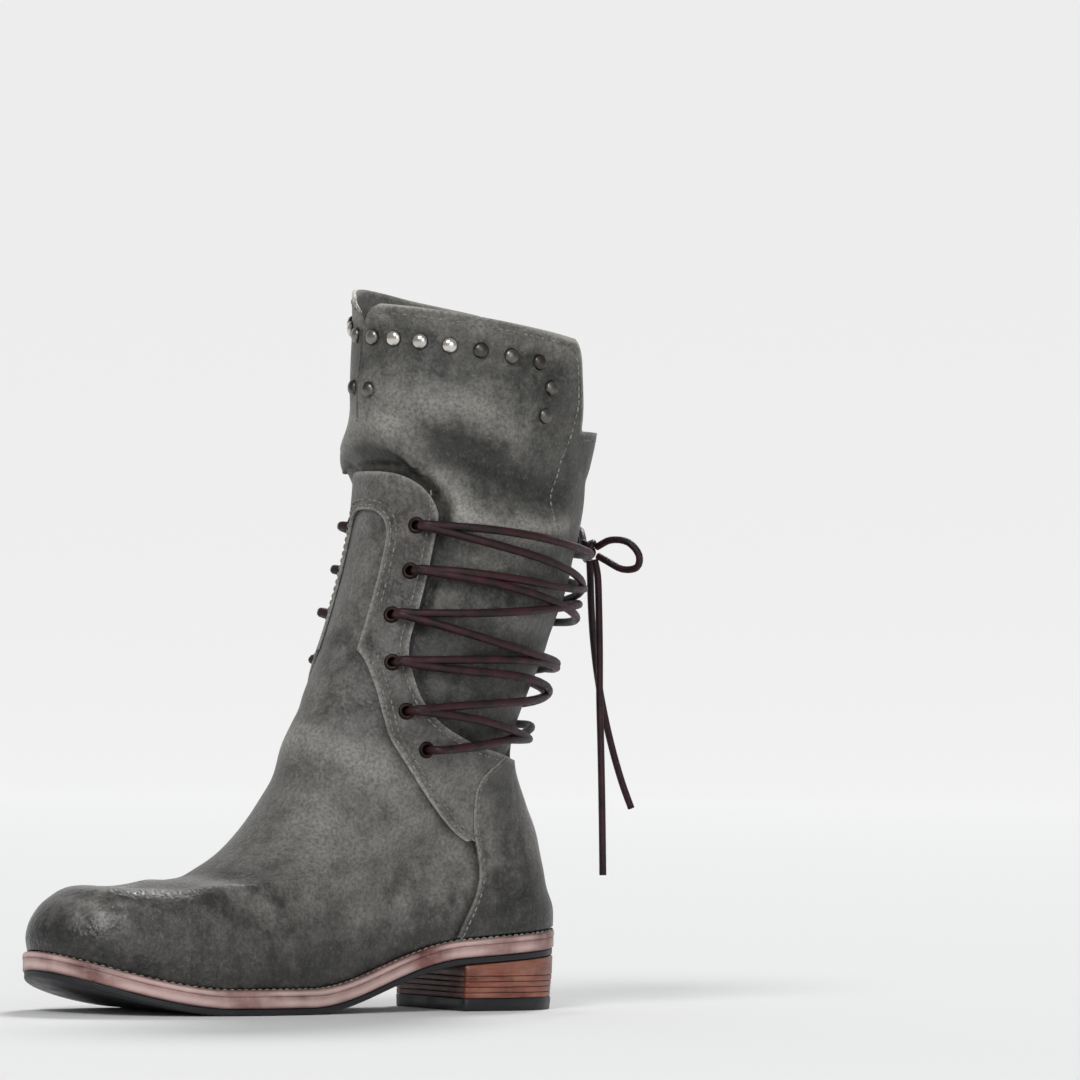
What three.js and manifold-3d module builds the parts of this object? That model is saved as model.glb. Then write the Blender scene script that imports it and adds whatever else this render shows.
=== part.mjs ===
// A left lace-back boot, mid-calf, on a stacked leather heel. Millimetres, +Z up.
// The toe points along -X, the outer side of the foot lies at -Y.
// The origin is the middle of the heel's bottom face, on the floor.
import * as THREE from 'three';
import { mergeVertices } from 'three/addons/utils/BufferGeometryUtils.js';
import Module from 'manifold-3d';

const wasm = await Module();
wasm.setup();
const { Manifold, Mesh: SolidMesh } = wasm;

// Sole sizes
const soleLength = 280;
const heelRearX = 34;            // how far the sole reaches behind the origin
const ballWidth = 100;
const toeSpring = 17;
const breastHeight = 22;         // floor to outsole at the heel's front face
const seatHeight = 26.5;         // floor to outsole at the rear
const outsoleThickness = 3.2;
const midsoleThickness = 5.2;
const weltThickness = 3.2;
const insoleThickness = 3;
const weltReach = 4.5;           // ledge of the welt outside the upper, forefoot
const heelReach = 2;             // the same ledge round the heel
const edgeRound = 0.8;           // chamfer of the sole edges
const topLiftThickness = 6;
const heelLiftThickness = 5;
const heelLength = 66;
const heelTaper = 2;             // how far the heel narrows from seat to floor
const breastHollow = 4;          // depth of the concave heel front
const seatInset = 0.4;           // the heel's top edge inside the sole's edge

// Upper sizes
const instepReach = 277;         // length of the upper along the feather line
const tabHeight = 256;           // floor to the top of the front panel
const shaftDepth = 122;
const shaftWidth = 102;
const bootHeight = 336;          // floor to the flaps' front corners
const upperWall = 2;
const shaftWall = 1.8;
const overlayWall = 1.3;
const gap = 0.3;                 // clearance between pieces that touch
const insoleGap = 1.3;            // clearance of the insole's edge from the wall
const featherGap = 0.6;          // clearance of the upper's rim over the welt

// Collar, studs, eyelets and lace
const backStripHeight = 277;     // floor to the low collar edge at the back
const flapCorner = 15;
const flapRearX = 24;
const frontSlitWidth = 5;
const studDiameter = 7.5;
const studHeight = 2.6;
const eyeletHole = 4.6;
const eyeletFlange = 8;
const eyeletFlangeHeight = 0.9;
const eyeletSeatGap = 0.5;       // clearance of the flat flange over the round facing
const laceDiameter = 3.5;
const laceStandOff = 8;          // lace centre line off the form at the back

// Mesh density
const outlineSteps = 44;
const ringSteps = 30;
const laceSides = 5;
const cordSides = 8;

const deg = Math.PI / 180;
const clamp01 = (s) => Math.min(1, Math.max(0, s));
const smooth = (s) => clamp01(s) ** 2 * (3 - 2 * clamp01(s));
const lerp = (a, b, s) => a + (b - a) * s;

// Catmull-Rom value at a real row index of a list
function along(list, row) {
  const last = list.length - 1;
  const i = Math.min(last - 1, Math.max(0, Math.floor(row)));
  const s = row - i;
  const [b, c] = [list[i], list[i + 1]];
  const a = i > 0 ? list[i - 1] : 2 * b - c;
  const d = i + 2 <= last ? list[i + 2] : 2 * c - b;
  return b + 0.5 * s * (c - a + s * (2 * a - 5 * b + 4 * c - d + s * (3 * (b - c) + d - a)));
}

// Plan of the sole. A row every 15 degrees of turn, toe tip first, heel last; each half width
// is a share of the ball width. Equal and opposite values at the toe put its tip off centre.
const planRows = [
  // lateral, medial
  [-0.060, 0.060],
  [0.150, 0.245],
  [0.325, 0.395],
  [0.435, 0.462],
  [0.495, 0.482],
  [0.503, 0.447],
  [0.440, 0.345],
  [0.365, 0.300],
  [0.335, 0.310],
  [0.333, 0.323],
  [0.283, 0.280],
  [0.165, 0.165],
  [0.000, 0.000],
];
const lateralRows = planRows.map((row) => row[0]);
const medialRows = planRows.map((row) => row[1]);

// Share of the sole's length behind the toe tip at a turn angle, 0 at the toe and 180 at the heel
const shareAt = (turn) => (1 - Math.cos(turn)) / 2;
const soleX = (share) => heelRearX - soleLength * (1 - share);
const shareOfX = (x) => clamp01(1 - (heelRearX - x) / soleLength);

// Signed width from the sole's axis: negative is lateral. Turn runs 0..2 pi, lateral side first.
function planY(turn) {
  const lateral = turn <= Math.PI;
  const row = (lateral ? turn : 2 * Math.PI - turn) / (15 * deg);
  const half = ballWidth * along(lateral ? lateralRows : medialRows, row);
  return lateral ? -half : half;
}

function planPoint(turn, inset) {
  const step = 0.02;
  const at = (angle) => {
    const turned = (angle + 2 * Math.PI) % (2 * Math.PI);
    return new THREE.Vector2(soleX(shareAt(turned)), planY(turned));
  };
  const tangent = at(turn + step).sub(at(turn - step)).normalize();
  return at(turn).add(new THREE.Vector2(-tangent.y, tangent.x).multiplyScalar(inset));
}

// Height of the outsole's underside: toe spring, flat tread, rise through the waist, heel seat
const treadFrontShare = 0.27;
const treadRearShare = 0.43;
const breastShare = 1 - heelLength / soleLength;
const toeCurve = 1.7;
function soleHeight(x) {
  const share = shareOfX(x);
  if (share < treadFrontShare) return toeSpring * (1 - share / treadFrontShare) ** toeCurve;
  if (share < treadRearShare) return 0;
  const seatSlope = (seatHeight - breastHeight) / (1 - breastShare);
  if (share > breastShare) return breastHeight + seatSlope * (share - breastShare);
  const span = breastShare - treadRearShare;
  const s = (share - treadRearShare) / span;
  return breastHeight * smooth(s) + seatSlope * span * (s ** 3 - s ** 2);
}

// Levels of the sole layers above the outsole's underside
const midsoleLevel = outsoleThickness + gap;
const weltLevel = midsoleLevel + midsoleThickness + gap;
const featherLevel = weltLevel + weltThickness + gap;
const insoleTop = featherLevel + insoleThickness;

// Builds a closed geometry from vertex and face lists
function geometryOf(points, faces) {
  const geometry = new THREE.BufferGeometry();
  geometry.setAttribute('position', new THREE.Float32BufferAttribute(points.flat(), 3));
  geometry.setIndex(faces.flat());
  return geometry;
}

function solidOf(geometry) {
  const bare = geometry.index ? geometry.clone() : mergeVertices(geometry);
  bare.deleteAttribute('normal');
  bare.deleteAttribute('uv');
  const merged = mergeVertices(bare, 1e-4);
  return new Manifold(new SolidMesh({
    numProp: 3,
    vertProperties: new Float32Array(merged.attributes.position.array),
    triVerts: new Uint32Array(merged.index.array),
  }));
}

function geometryOfSolid(solid) {
  const mesh = solid.getMesh();
  const geometry = new THREE.BufferGeometry();
  geometry.setAttribute('position', new THREE.BufferAttribute(mesh.vertProperties, 3));
  geometry.setIndex(new THREE.BufferAttribute(mesh.triVerts, 1));
  return geometry;
}

// A stack of closed rings of equal length, capped by strips that join a ring's two sides
function ringStack(rings) {
  const count = rings[0].length;
  const faces = [];
  for (let r = 0; r + 1 < rings.length; r++) {
    for (let k = 0; k < count; k++) {
      const next = (k + 1) % count;
      const [a, b] = [r * count + k, r * count + next];
      const [c, d] = [b + count, a + count];
      faces.push([a, b, c], [a, c, d]);
    }
  }
  const top = (rings.length - 1) * count;
  for (let k = 0; k < count / 2; k++) {
    const [a, b] = [k, k + 1];
    const [c, d] = [(count - k - 1) % count, (count - k) % count];
    if (b !== c) {
      faces.push([a, c, b]);
      faces.push([top + a, top + b, top + c]);
    }
    if (k > 0) {
      faces.push([a, d, c]);
      faces.push([top + a, top + c, top + d]);
    }
  }
  return geometryOf(rings.flat(), faces);
}

// A sole layer that follows the sole's profile: insets and levels of its rings, bottom first
function soleLayer(insetAt, bottom, top) {
  const ring = (level, extra) => Array.from({ length: outlineSteps }, (_, k) => {
    const turn = (2 * Math.PI * k) / outlineSteps;
    const point = planPoint(turn, insetAt(shareAt(turn)) + extra);
    return [point.x, point.y, soleHeight(point.x) + level];
  });
  return ringStack([
    ring(bottom, edgeRound),
    ring(bottom + edgeRound, 0),
    ring(top - edgeRound, 0),
    ring(top, edgeRound),
  ]);
}

// The ledge narrows from the waist to the heel
const ledgeAt = (share) => lerp(weltReach, heelReach, smooth((share - 0.55) / 0.25));

// Heel lifts: flat D-shaped slices under the sole, each narrower than the one above
function heelLift(bottom, top, topIsSeat = false) {
  const insetAt = (z) => lerp(heelTaper, seatInset, z / breastHeight);
  const ring = (z, seat) => Array.from({ length: outlineSteps }, (_, k) => {
    const point = planPoint((2 * Math.PI * k) / outlineSteps, insetAt(z));
    return [point.x, point.y, seat ? Math.max(soleHeight(point.x) - gap, bottom + edgeRound) : z];
  });
  const slice = solidOf(ringStack([ring(bottom, false), ring(top, topIsSeat)]));
  const breastX = heelRearX - heelLength;
  const outline = new THREE.Shape();
  outline.moveTo(breastX, -ballWidth / 2);
  outline.lineTo(heelRearX + ballWidth, -ballWidth / 2);
  outline.lineTo(heelRearX + ballWidth, ballWidth / 2);
  outline.lineTo(breastX, ballWidth / 2);
  outline.quadraticCurveTo(breastX + breastHollow, 0, breastX, -ballWidth / 2);
  const block = new THREE.ExtrudeGeometry(outline, {
    depth: seatHeight * 2,
    bevelEnabled: false,
    curveSegments: 6,
  });
  return geometryOfSolid(slice.intersect(solidOf(block)));
}

// Sections of the boot, from the feather line up. Each row is a ring through a front and a
// rear point. Lengths forward of the heel's rear are shares of the upper's length, heights are
// shares of the tab's height, widths are shares of the shaft's width. Foot is how much of the
// sole's plan the ring keeps; the rest is an ellipse.
const sectionRows = [
  // front, frontHeight, rear, rearHeight, foot, planScale, halfWidth
  [0.9990, 0.113, 0.000, 0.143, 1.00, 1.000, 0.42],
  [1.0010, 0.142, 0.003, 0.180, 1.00, 1.030, 0.42],
  [0.9900, 0.177, 0.017, 0.219, 1.00, 1.035, 0.42],
  [0.9660, 0.213, 0.024, 0.258, 0.98, 1.010, 0.42],
  [0.9250, 0.243, 0.030, 0.293, 0.93, 0.960, 0.41],
  [0.8650, 0.250, 0.036, 0.324, 0.84, 0.920, 0.41],
  [0.7980, 0.239, 0.045, 0.352, 0.72, 0.890, 0.41],
  [0.7280, 0.243, 0.055, 0.376, 0.58, 0.860, 0.41],
  [0.6580, 0.272, 0.064, 0.399, 0.43, 0.840, 0.41],
  [0.5980, 0.326, 0.074, 0.422, 0.29, 0.830, 0.41],
  [0.5520, 0.396, 0.084, 0.449, 0.17, 0.820, 0.415],
  [0.5140, 0.480, 0.088, 0.481, 0.08, 0.820, 0.42],
  [0.4800, 0.562, 0.080, 0.527, 0.03, 0.820, 0.43],
  [0.4450, 0.645, 0.054, 0.597, 0.00, 0.820, 0.44],
  [0.4160, 0.730, 0.018, 0.683, 0.00, 0.820, 0.45],
  [0.3910, 0.820, -0.014, 0.777, 0.00, 0.820, 0.46],
  [0.3740, 0.908, -0.038, 0.875, 0.00, 0.820, 0.47],
  [0.3660, 1.010, -0.058, 0.985, 0.00, 0.820, 0.48],
];
const column = (index) => sectionRows.map((row) => row[index]);
const section = {
  front: column(0),
  frontHeight: column(1),
  rear: column(2),
  rearHeight: column(3),
  foot: column(4),
  planScale: column(5),
  halfWidth: column(6),
};
const lastRow = sectionRows.length - 1;

// The shaft's own rings above the front panel's tab, where the soft leather swells over it.
// Depths are shares of the shaft's depth, heights run from the boot's last ring (0) to the top (1).
const collarRows = [
  // height, front, rear, halfWidth
  [0.12, 0.524, 0.494, 0.480],
  [0.30, 0.548, 0.513, 0.494],
  [0.52, 0.552, 0.522, 0.508],
  [0.76, 0.548, 0.513, 0.500],
  [1.00, 0.552, 0.507, 0.497],
];
const collarCentreX = -10;
const collarDrop = 20;           // the collar is lower behind than in front, front corner to rear
const medialRise = 14;           // the inner flap stands higher at its middle than the outer one

// Height of the collar's top edge at a turn angle
const collarTop = (turn) => (
  bootHeight - collarDrop * shareAt(turn) + medialRise * smooth(-Math.sin(turn))
);

const upperRearX = heelRearX - heelReach;
const soleFollowRows = 9;        // rows over which the rings lose the sole's profile
const feather = (x) => soleHeight(x) + weltLevel + weltThickness + featherGap;

// A point of the boot's form. Turn runs 0 at the front to 2 pi, lateral side first; row counts
// the sections from the feather line up.
function formPoint(turn, row) {
  const share = shareAt(turn);
  const side = turn <= Math.PI ? -1 : 1;
  const frontX = upperRearX - instepReach * along(section.front, row);
  const rearX = upperRearX - instepReach * along(section.rear, row);
  const x = lerp(frontX, rearX, share);
  const foot = clamp01(along(section.foot, row));
  const inset = planPoint(turn, ledgeAt(share));
  const footY = inset.y * along(section.planScale, row);
  const ellipseY = side * shaftWidth * along(section.halfWidth, row) * Math.abs(Math.sin(turn));
  const frontZ = tabHeight * along(section.frontHeight, row);
  const rearZ = tabHeight * along(section.rearHeight, row);
  const rise = lerp(frontZ, rearZ, share);
  const lowest = lerp(tabHeight * section.frontHeight[0], tabHeight * section.rearHeight[0], share);
  const follow = 1 - smooth(row / soleFollowRows);
  const z = rise + (feather(x) - lowest) * follow;
  return new THREE.Vector3(x, lerp(ellipseY, footY, foot), z);
}

// The shaft's form: the boot's form up to the tab, then the collar rings
const collarStart = lastRow + 1;
const shaftTop = collarStart + collarRows.length - 1;
function shaftPoint(turn, row) {
  if (row <= lastRow) return formPoint(turn, row);
  const step = row - collarStart;
  if (step < 0) {
    return formPoint(turn, lastRow).lerp(shaftPoint(turn, collarStart), step + 1);
  }
  const share = shareAt(turn);
  const side = turn <= Math.PI ? -1 : 1;
  const at = (index) => along(collarRows.map((r) => r[index]), step);
  const frontX = collarCentreX - shaftDepth * at(1);
  const rearX = collarCentreX + shaftDepth * at(2);
  return new THREE.Vector3(
    lerp(frontX, rearX, share),
    side * shaftWidth * at(3) * Math.abs(Math.sin(turn)),
    lerp(formPoint(turn, lastRow).z, collarTop(turn), at(0)),
  );
}

function normalOf(form, turn, row, top) {
  const step = 0.03;
  const wrapped = (angle) => (angle + 2 * Math.PI) % (2 * Math.PI);
  const low = Math.max(0, row - step * 4);
  const high = Math.min(top, row + step * 4);
  const across = form(wrapped(turn + step), row).sub(form(wrapped(turn - step), row));
  const up = form(turn, high).sub(form(turn, low));
  return across.cross(up).normalize();
}

function offsetPoint(form, turn, row, top, offset) {
  return form(turn, row).addScaledVector(normalOf(form, turn, row, top), offset);
}

// A hollow shell between two offsets of a form, each a function of the row, open at both ends
function shell(form, top, rows, outerAt, innerAt) {
  const points = [];
  const faces = [];
  for (const offsetAt of [outerAt, innerAt]) {
    for (const row of rows) {
      for (let k = 0; k < ringSteps; k++) {
        const turn = (2 * Math.PI * k) / ringSteps;
        points.push(offsetPoint(form, turn, row, top, offsetAt(row)).toArray());
      }
    }
  }
  const at = (skin, r, k) => (skin * rows.length + r) * ringSteps + (k % ringSteps);
  const last = rows.length - 1;
  for (let k = 0; k < ringSteps; k++) {
    for (let r = 0; r < last; r++) {
      const [a, b, c, d] = [at(0, r, k), at(0, r, k + 1), at(0, r + 1, k + 1), at(0, r + 1, k)];
      faces.push([a, b, c], [a, c, d]);
      const [e, f, g, h] = [at(1, r, k), at(1, r, k + 1), at(1, r + 1, k + 1), at(1, r + 1, k)];
      faces.push([e, g, f], [e, h, g]);
    }
    const [lowOuter, lowInner] = [at(0, 0, k), at(1, 0, k)];
    const [nextLowOuter, nextLowInner] = [at(0, 0, k + 1), at(1, 0, k + 1)];
    faces.push([lowOuter, lowInner, nextLowInner], [lowOuter, nextLowInner, nextLowOuter]);
    const [topOuter, topInner] = [at(0, last, k), at(1, last, k)];
    const [nextTopOuter, nextTopInner] = [at(0, last, k + 1), at(1, last, k + 1)];
    faces.push([topOuter, nextTopInner, topInner], [topOuter, nextTopOuter, nextTopInner]);
  }
  return solidOf(geometryOf(points, faces));
}

const rowList = (from, to, count) => (
  Array.from({ length: count + 1 }, (_, i) => lerp(from, to, i / count))
);

// Prisms that cut a region out of a form, drawn in the side view or in the front view
const cornerSegments = 6;
function sideSolid(shape, fromY = -ballWidth, toY = ballWidth) {
  const geometry = new THREE.ExtrudeGeometry(shape, {
    depth: toY - fromY,
    bevelEnabled: false,
    curveSegments: cornerSegments,
  });
  geometry.rotateX(Math.PI / 2);
  geometry.translate(0, toY, 0);
  return solidOf(geometry);
}

const sidePrism = (points) => (
  sideSolid(new THREE.Shape(points.map(([x, z]) => new THREE.Vector2(x, z))))
);

function frontPrism(shape, fromX, toX) {
  const geometry = new THREE.ExtrudeGeometry(shape, {
    depth: toX - fromX,
    bevelEnabled: false,
    curveSegments: cornerSegments,
  });
  geometry.rotateX(Math.PI / 2);
  geometry.rotateZ(Math.PI / 2);
  geometry.translate(fromX, 0, 0);
  return solidOf(geometry);
}

// Edge of the opening behind the front panel, from the tab down and back over the counter.
// Columns: share of the upper's length forward of its rear, share of the tab's height.
const openingEdge = [
  [0.305, 1.020],
  [0.303, 0.935],
  [0.318, 0.840],
  [0.338, 0.754],
  [0.358, 0.684],
  [0.360, 0.640],
  [0.346, 0.578],
  [0.310, 0.533],
  [0.245, 0.500],
  [0.160, 0.478],
  [0.080, 0.464],
  [-0.200, 0.458],
];
// Boundary between the vamp and the eyelet facing below it
const facingEdge = [
  [0.202, 0.301],
  [0.260, 0.336],
  [0.336, 0.402],
  [0.394, 0.492],
  [0.408, 0.547],
  [0.413, 0.602],
  [0.421, 0.665],
  [0.446, 0.735],
  [0.500, 0.810],
  [0.600, 0.900],
];
// Front edge of the counter
const counterEdge = [
  [0.150, 0.480],
  [0.215, 0.432],
  [0.222, 0.372],
  [0.205, 0.290],
  [0.210, 0.225],
  [0.250, 0.130],
];
const placed = ([forward, height]) => [upperRearX - instepReach * forward, tabHeight * height];
const farBack = upperRearX + shaftDepth;
const farFront = upperRearX - 2 * instepReach;

const openingPrism = sidePrism([
  ...openingEdge.map(placed),
  [farBack, 2 * bootHeight],
  [placed(openingEdge[0])[0], 2 * bootHeight],
]);

// The tab's rounded outline, in the front view
const tabHalfWidth = 36;
const tabCorner = 27;
function archShape(half, top, radius, bottom) {
  const shape = new THREE.Shape();
  shape.moveTo(-half, bottom);
  shape.lineTo(half, bottom);
  shape.lineTo(half, top - radius);
  shape.quadraticCurveTo(half, top, half - radius, top);
  shape.lineTo(-half + radius, top);
  shape.quadraticCurveTo(-half, top, -half, top - radius);
  shape.closePath();
  return shape;
}
const aboveInstep = tabHeight * 0.7;
const tabArch = archShape(tabHalfWidth, tabHeight, tabCorner, aboveInstep);
const tabPrism = frontPrism(tabArch, farFront, farBack);
const lowerPrism = sidePrism([
  [farFront, -ballWidth],
  [farBack, -ballWidth],
  [farBack, aboveInstep + gap],
  [farFront, aboveInstep + gap],
]);
const upperLimit = tabPrism.add(lowerPrism);

// The point of a form at a turn angle and a height
function atHeight(form, turn, height, top) {
  let low = 0;
  let high = top;
  for (let i = 0; i < 40; i++) {
    const middle = (low + high) / 2;
    if (form(turn, middle).z < height) low = middle;
    else high = middle;
  }
  return { point: form(turn, low), normal: normalOf(form, turn, low, top) };
}

const facingOuter = gap + overlayWall;

// Eyelets, top pair first, with the height at which the lace crosses behind below each pair
const eyeletRows = [
  // turn from the front in degrees, height, back crossing, both as shares of the tab's height
  [37, 0.900, 0.850],
  [39, 0.815, 0.785],
  [36, 0.733, 0.715],
  [45, 0.645, 0.645],
  [62, 0.556, 0.575],
  [79, 0.486, 0.520],
];
const eyelets = eyeletRows.flatMap(([turnDegrees, share]) => ['lateral', 'medial'].map((side) => {
  const turn = side === 'lateral' ? turnDegrees * deg : 2 * Math.PI - turnDegrees * deg;
  const height = share * tabHeight;
  return { side, turn, height, ...atHeight(formPoint, turn, height, lastRow) };
}));

// A geometry drawn along +Z, set on a point with +Z turned to a normal
function orientedAlong(geometry, point, normal) {
  const turned = geometry.clone();
  turned.applyQuaternion(new THREE.Quaternion().setFromUnitVectors(new THREE.Vector3(0, 0, 1), normal));
  turned.translate(point.x, point.y, point.z);
  return turned;
}

const lathe = (profile, segments) => {
  const geometry = new THREE.LatheGeometry(profile.map(([r, z]) => new THREE.Vector2(r, z)), segments);
  geometry.rotateX(Math.PI / 2);
  return geometry;
};

const eyeletSides = 8;
const eyeletWall = 0.5;
const eyeletBarrel = eyeletHole / 2 + eyeletWall;
const eyeletGeometry = lathe([
  [eyeletHole / 2, -upperWall],
  [eyeletBarrel, facingOuter + eyeletSeatGap],
  [eyeletFlange / 2, facingOuter + eyeletSeatGap],
  [eyeletHole / 2, facingOuter + eyeletSeatGap + eyeletFlangeHeight],
  [eyeletHole / 2, -upperWall],
], eyeletSides);
const drillRadius = eyeletBarrel + gap;
const holeDrill = new THREE.CylinderGeometry(drillRadius, drillRadius, 6 * upperWall, eyeletSides);
holeDrill.rotateX(Math.PI / 2);
const eyeletHoles = eyelets.map(({ point, normal }) => solidOf(orientedAlong(holeDrill, point, normal)))
  .reduce((all, hole) => all.add(hole));

// Upper: one hollow shell, cut along the opening and the tab
const upperRows = [0, 0.6, 1.4, 2.4, 3.4, 4.5, 5.8, 7.2, 8.6, 10, 11.5, 13, 14.4, 15.7, lastRow];
const upperSolid = shell(formPoint, lastRow, upperRows, () => 0, () => -upperWall)
  .intersect(upperLimit)
  .subtract(openingPrism)
  .subtract(eyeletHoles);

// Overlays are cut from the same form, a little larger
const overlayRows = upperRows.slice(1);
const overlayShell = shell(formPoint, lastRow, overlayRows, () => facingOuter, () => gap);
const counterRegion = sidePrism([
  ...counterEdge.map(placed),
  [farBack, -ballWidth],
  [farBack, tabHeight * counterEdge[0][1]],
]);
const counterSolid = overlayShell.intersect(counterRegion).subtract(openingPrism);
const facingRegion = sidePrism([
  ...facingEdge.map(placed),
  [farFront, tabHeight * facingEdge.at(-1)[1]],
  [farFront, 2 * bootHeight],
  [farBack, 2 * bootHeight],
  [farBack, tabHeight * facingEdge[0][1]],
]);
const vampTabHalfWidth = 17;
const vampTabHeight = 238;
const vampTabCorner = 15;
const vampTabArch = archShape(vampTabHalfWidth, vampTabHeight, vampTabCorner, 0);
const vampTab = frontPrism(vampTabArch, farFront, collarCentreX - shaftDepth / 4);
const counterClearance = sidePrism([
  ...counterEdge.map(placed).map(([x, z]) => [x - 2 * gap, z]),
  [farBack, -ballWidth],
  [farBack, 2 * bootHeight],
  [placed(counterEdge[0])[0], 2 * bootHeight],
]);
const facingSolid = overlayShell
  .intersect(facingRegion)
  .intersect(upperLimit)
  .subtract(openingPrism)
  .subtract(vampTab)
  .subtract(counterClearance)
  .subtract(eyeletHoles);

// Shaft: inside the upper below the tab, swelling over it above
const ankleRows = upperRows.filter((row) => row > soleFollowRows);
const shaftRows = [...ankleRows, ...rowList(collarStart, shaftTop, 6)];
const inside = upperWall + gap;
const shaftClearance = 0.2;      // the soft shaft's further clearance inside the stiff upper
const shaftOuter = (row) => lerp(-inside - shaftClearance, 0, smooth(row - lastRow));
const shaftInner = (row) => shaftOuter(row) - shaftWall;
const shaftShell = shell(shaftPoint, shaftTop, shaftRows, shaftOuter, shaftInner);
const flapCornerTurn = 105 * deg;
function backNotch(flapTop, fromY, toY) {
  const notch = new THREE.Shape();
  notch.moveTo(flapRearX, backStripHeight);
  notch.lineTo(flapRearX, flapTop - flapCorner);
  notch.quadraticCurveTo(flapRearX, flapTop, flapRearX - flapCorner, flapTop);
  notch.lineTo(flapRearX - flapCorner, 2 * bootHeight);
  notch.lineTo(farBack, 2 * bootHeight);
  notch.lineTo(farBack, backStripHeight);
  notch.closePath();
  return sideSolid(notch, fromY, toY);
}
const lateralNotch = backNotch(collarTop(flapCornerTurn), -ballWidth, 0);
const medialNotch = backNotch(collarTop(2 * Math.PI - flapCornerTurn), 0, ballWidth);
const slitHalf = frontSlitWidth / 2;
const aboveFlaps = bootHeight + medialRise;
const slit = new THREE.Shape();
slit.moveTo(0, backStripHeight);
slit.lineTo(slitHalf, backStripHeight + frontSlitWidth);
slit.lineTo(slitHalf, bootHeight - flapCorner);
slit.quadraticCurveTo(slitHalf, bootHeight, slitHalf + flapCorner, aboveFlaps);
slit.lineTo(-slitHalf - flapCorner, aboveFlaps);
slit.quadraticCurveTo(-slitHalf, bootHeight, -slitHalf, bootHeight - flapCorner);
slit.lineTo(-slitHalf, backStripHeight + frontSlitWidth);
slit.closePath();
const slitSolid = frontPrism(slit, farFront, collarCentreX);
const shaftSolid = shaftShell
  .subtract(lateralNotch)
  .subtract(medialNotch)
  .subtract(slitSolid);

// Studs: a row under each flap's top edge, turning down its front and rear edges
const studInset = 16;           // stud centre to the flap's top edge
const studCornerTurn = 3 * deg;  // the flap's two rear studs stand this far apart in turn
const studSides = 8;
const studGeometry = lathe([
  [0, gap],
  [studDiameter / 2, gap],
  [studDiameter / 2.7, gap + studHeight * 0.7],
  [0, gap + studHeight],
], studSides);
const flapFrontTurn = 11 * deg;
const flapRearTurn = 95 * deg;
const studsInRow = 7;
const studCornerDrop = 11;       // the corner stud sits this far below the row
const studEdgeDrop = 25;         // the lower stud of each edge
const studHeightAt = (turn, below) => collarTop(turn) - studInset - below;
const studPlaces = Array.from({ length: studsInRow }, (_, k) => (
  { turn: lerp(flapFrontTurn, flapRearTurn, k / (studsInRow - 1)), below: 0 }
));
studPlaces.push({ turn: flapRearTurn + 2 * studCornerTurn, below: studCornerDrop });
studPlaces.push({ turn: flapRearTurn + studCornerTurn, below: studEdgeDrop });
studPlaces.push({ turn: flapFrontTurn, below: studEdgeDrop });

// Lace: strands round the back from one row of eyelets to the other
const laceRadius = laceDiameter / 2;
const laceRest = facingOuter + eyeletSeatGap + eyeletFlangeHeight + 2 * gap + laceRadius;
const strandSteps = 10;
function tubeGeometry(path, radius, sides, steps) {
  const section2d = new THREE.Shape(Array.from({ length: sides }, (_, k) => {
    const angle = (2 * Math.PI * k) / sides;
    return new THREE.Vector2(radius * Math.cos(angle), radius * Math.sin(angle));
  }));
  return new THREE.ExtrudeGeometry(section2d, { extrudePath: path, steps, bevelEnabled: false });
}

// A strand from a turn and height to another, by way of a height at the back
function strand(from, to, backHeight) {
  const points = [];
  for (let k = 0; k <= strandSteps; k++) {
    const s = k / strandSteps;
    const turn = lerp(from.turn, to.turn, s);
    const ends = lerp(from.height, to.height, s);
    const bulge = Math.sin(Math.PI * s);
    const height = ends + (backHeight - (from.height + to.height) / 2) * bulge ** 1.4;
    const { point, normal } = atHeight(formPoint, turn, height, lastRow);
    points.push(point.addScaledVector(normal, lerp(laceRest, laceStandOff, bulge ** 3)));
  }
  return solidOf(tubeGeometry(new THREE.CatmullRomCurve3(points), laceRadius, laceSides, strandSteps));
}

const eyeletPair = (row) => ({ lateral: eyelets[2 * row], medial: eyelets[2 * row + 1] });
const bottomRow = eyeletRows.length - 1;
const backHeightOf = (row) => eyeletRows[row][2] * tabHeight;
const bottomPair = eyeletPair(bottomRow);
const strands = [strand(bottomPair.lateral, bottomPair.medial, backHeightOf(bottomRow))];
for (let row = 0; row < bottomRow; row++) {
  const [upperPair, lowerPair] = [eyeletPair(row), eyeletPair(row + 1)];
  const crossing = (backHeightOf(row) + backHeightOf(row + 1)) / 2;
  strands.push(strand(lowerPair.lateral, upperPair.medial, crossing));
  strands.push(strand(upperPair.lateral, lowerPair.medial, crossing));
}
const knotHeight = 222;
strands.push(strand(eyeletPair(0).lateral, eyeletPair(0).medial, knotHeight));
const laceSolid = strands.reduce((all, one) => all.add(one));

// Knot, bow loops and ends, hanging behind the shaft. Points are millimetres in the boot's frame.
const knotSeat = atHeight(formPoint, Math.PI, knotHeight, lastRow);
const knotRadius = 5;
const knotSink = 0.6;            // how far the faceted knot nestles towards the top strand
const knotCentre = knotSeat.point.clone().addScaledVector(
  new THREE.Vector3(1, 0, 0),
  laceStandOff + laceRadius + knotRadius - knotSink,
);
const knotGeometry = new THREE.IcosahedronGeometry(knotRadius, 1);
knotGeometry.translate(knotCentre.x, knotCentre.y, knotCentre.z);

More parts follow.
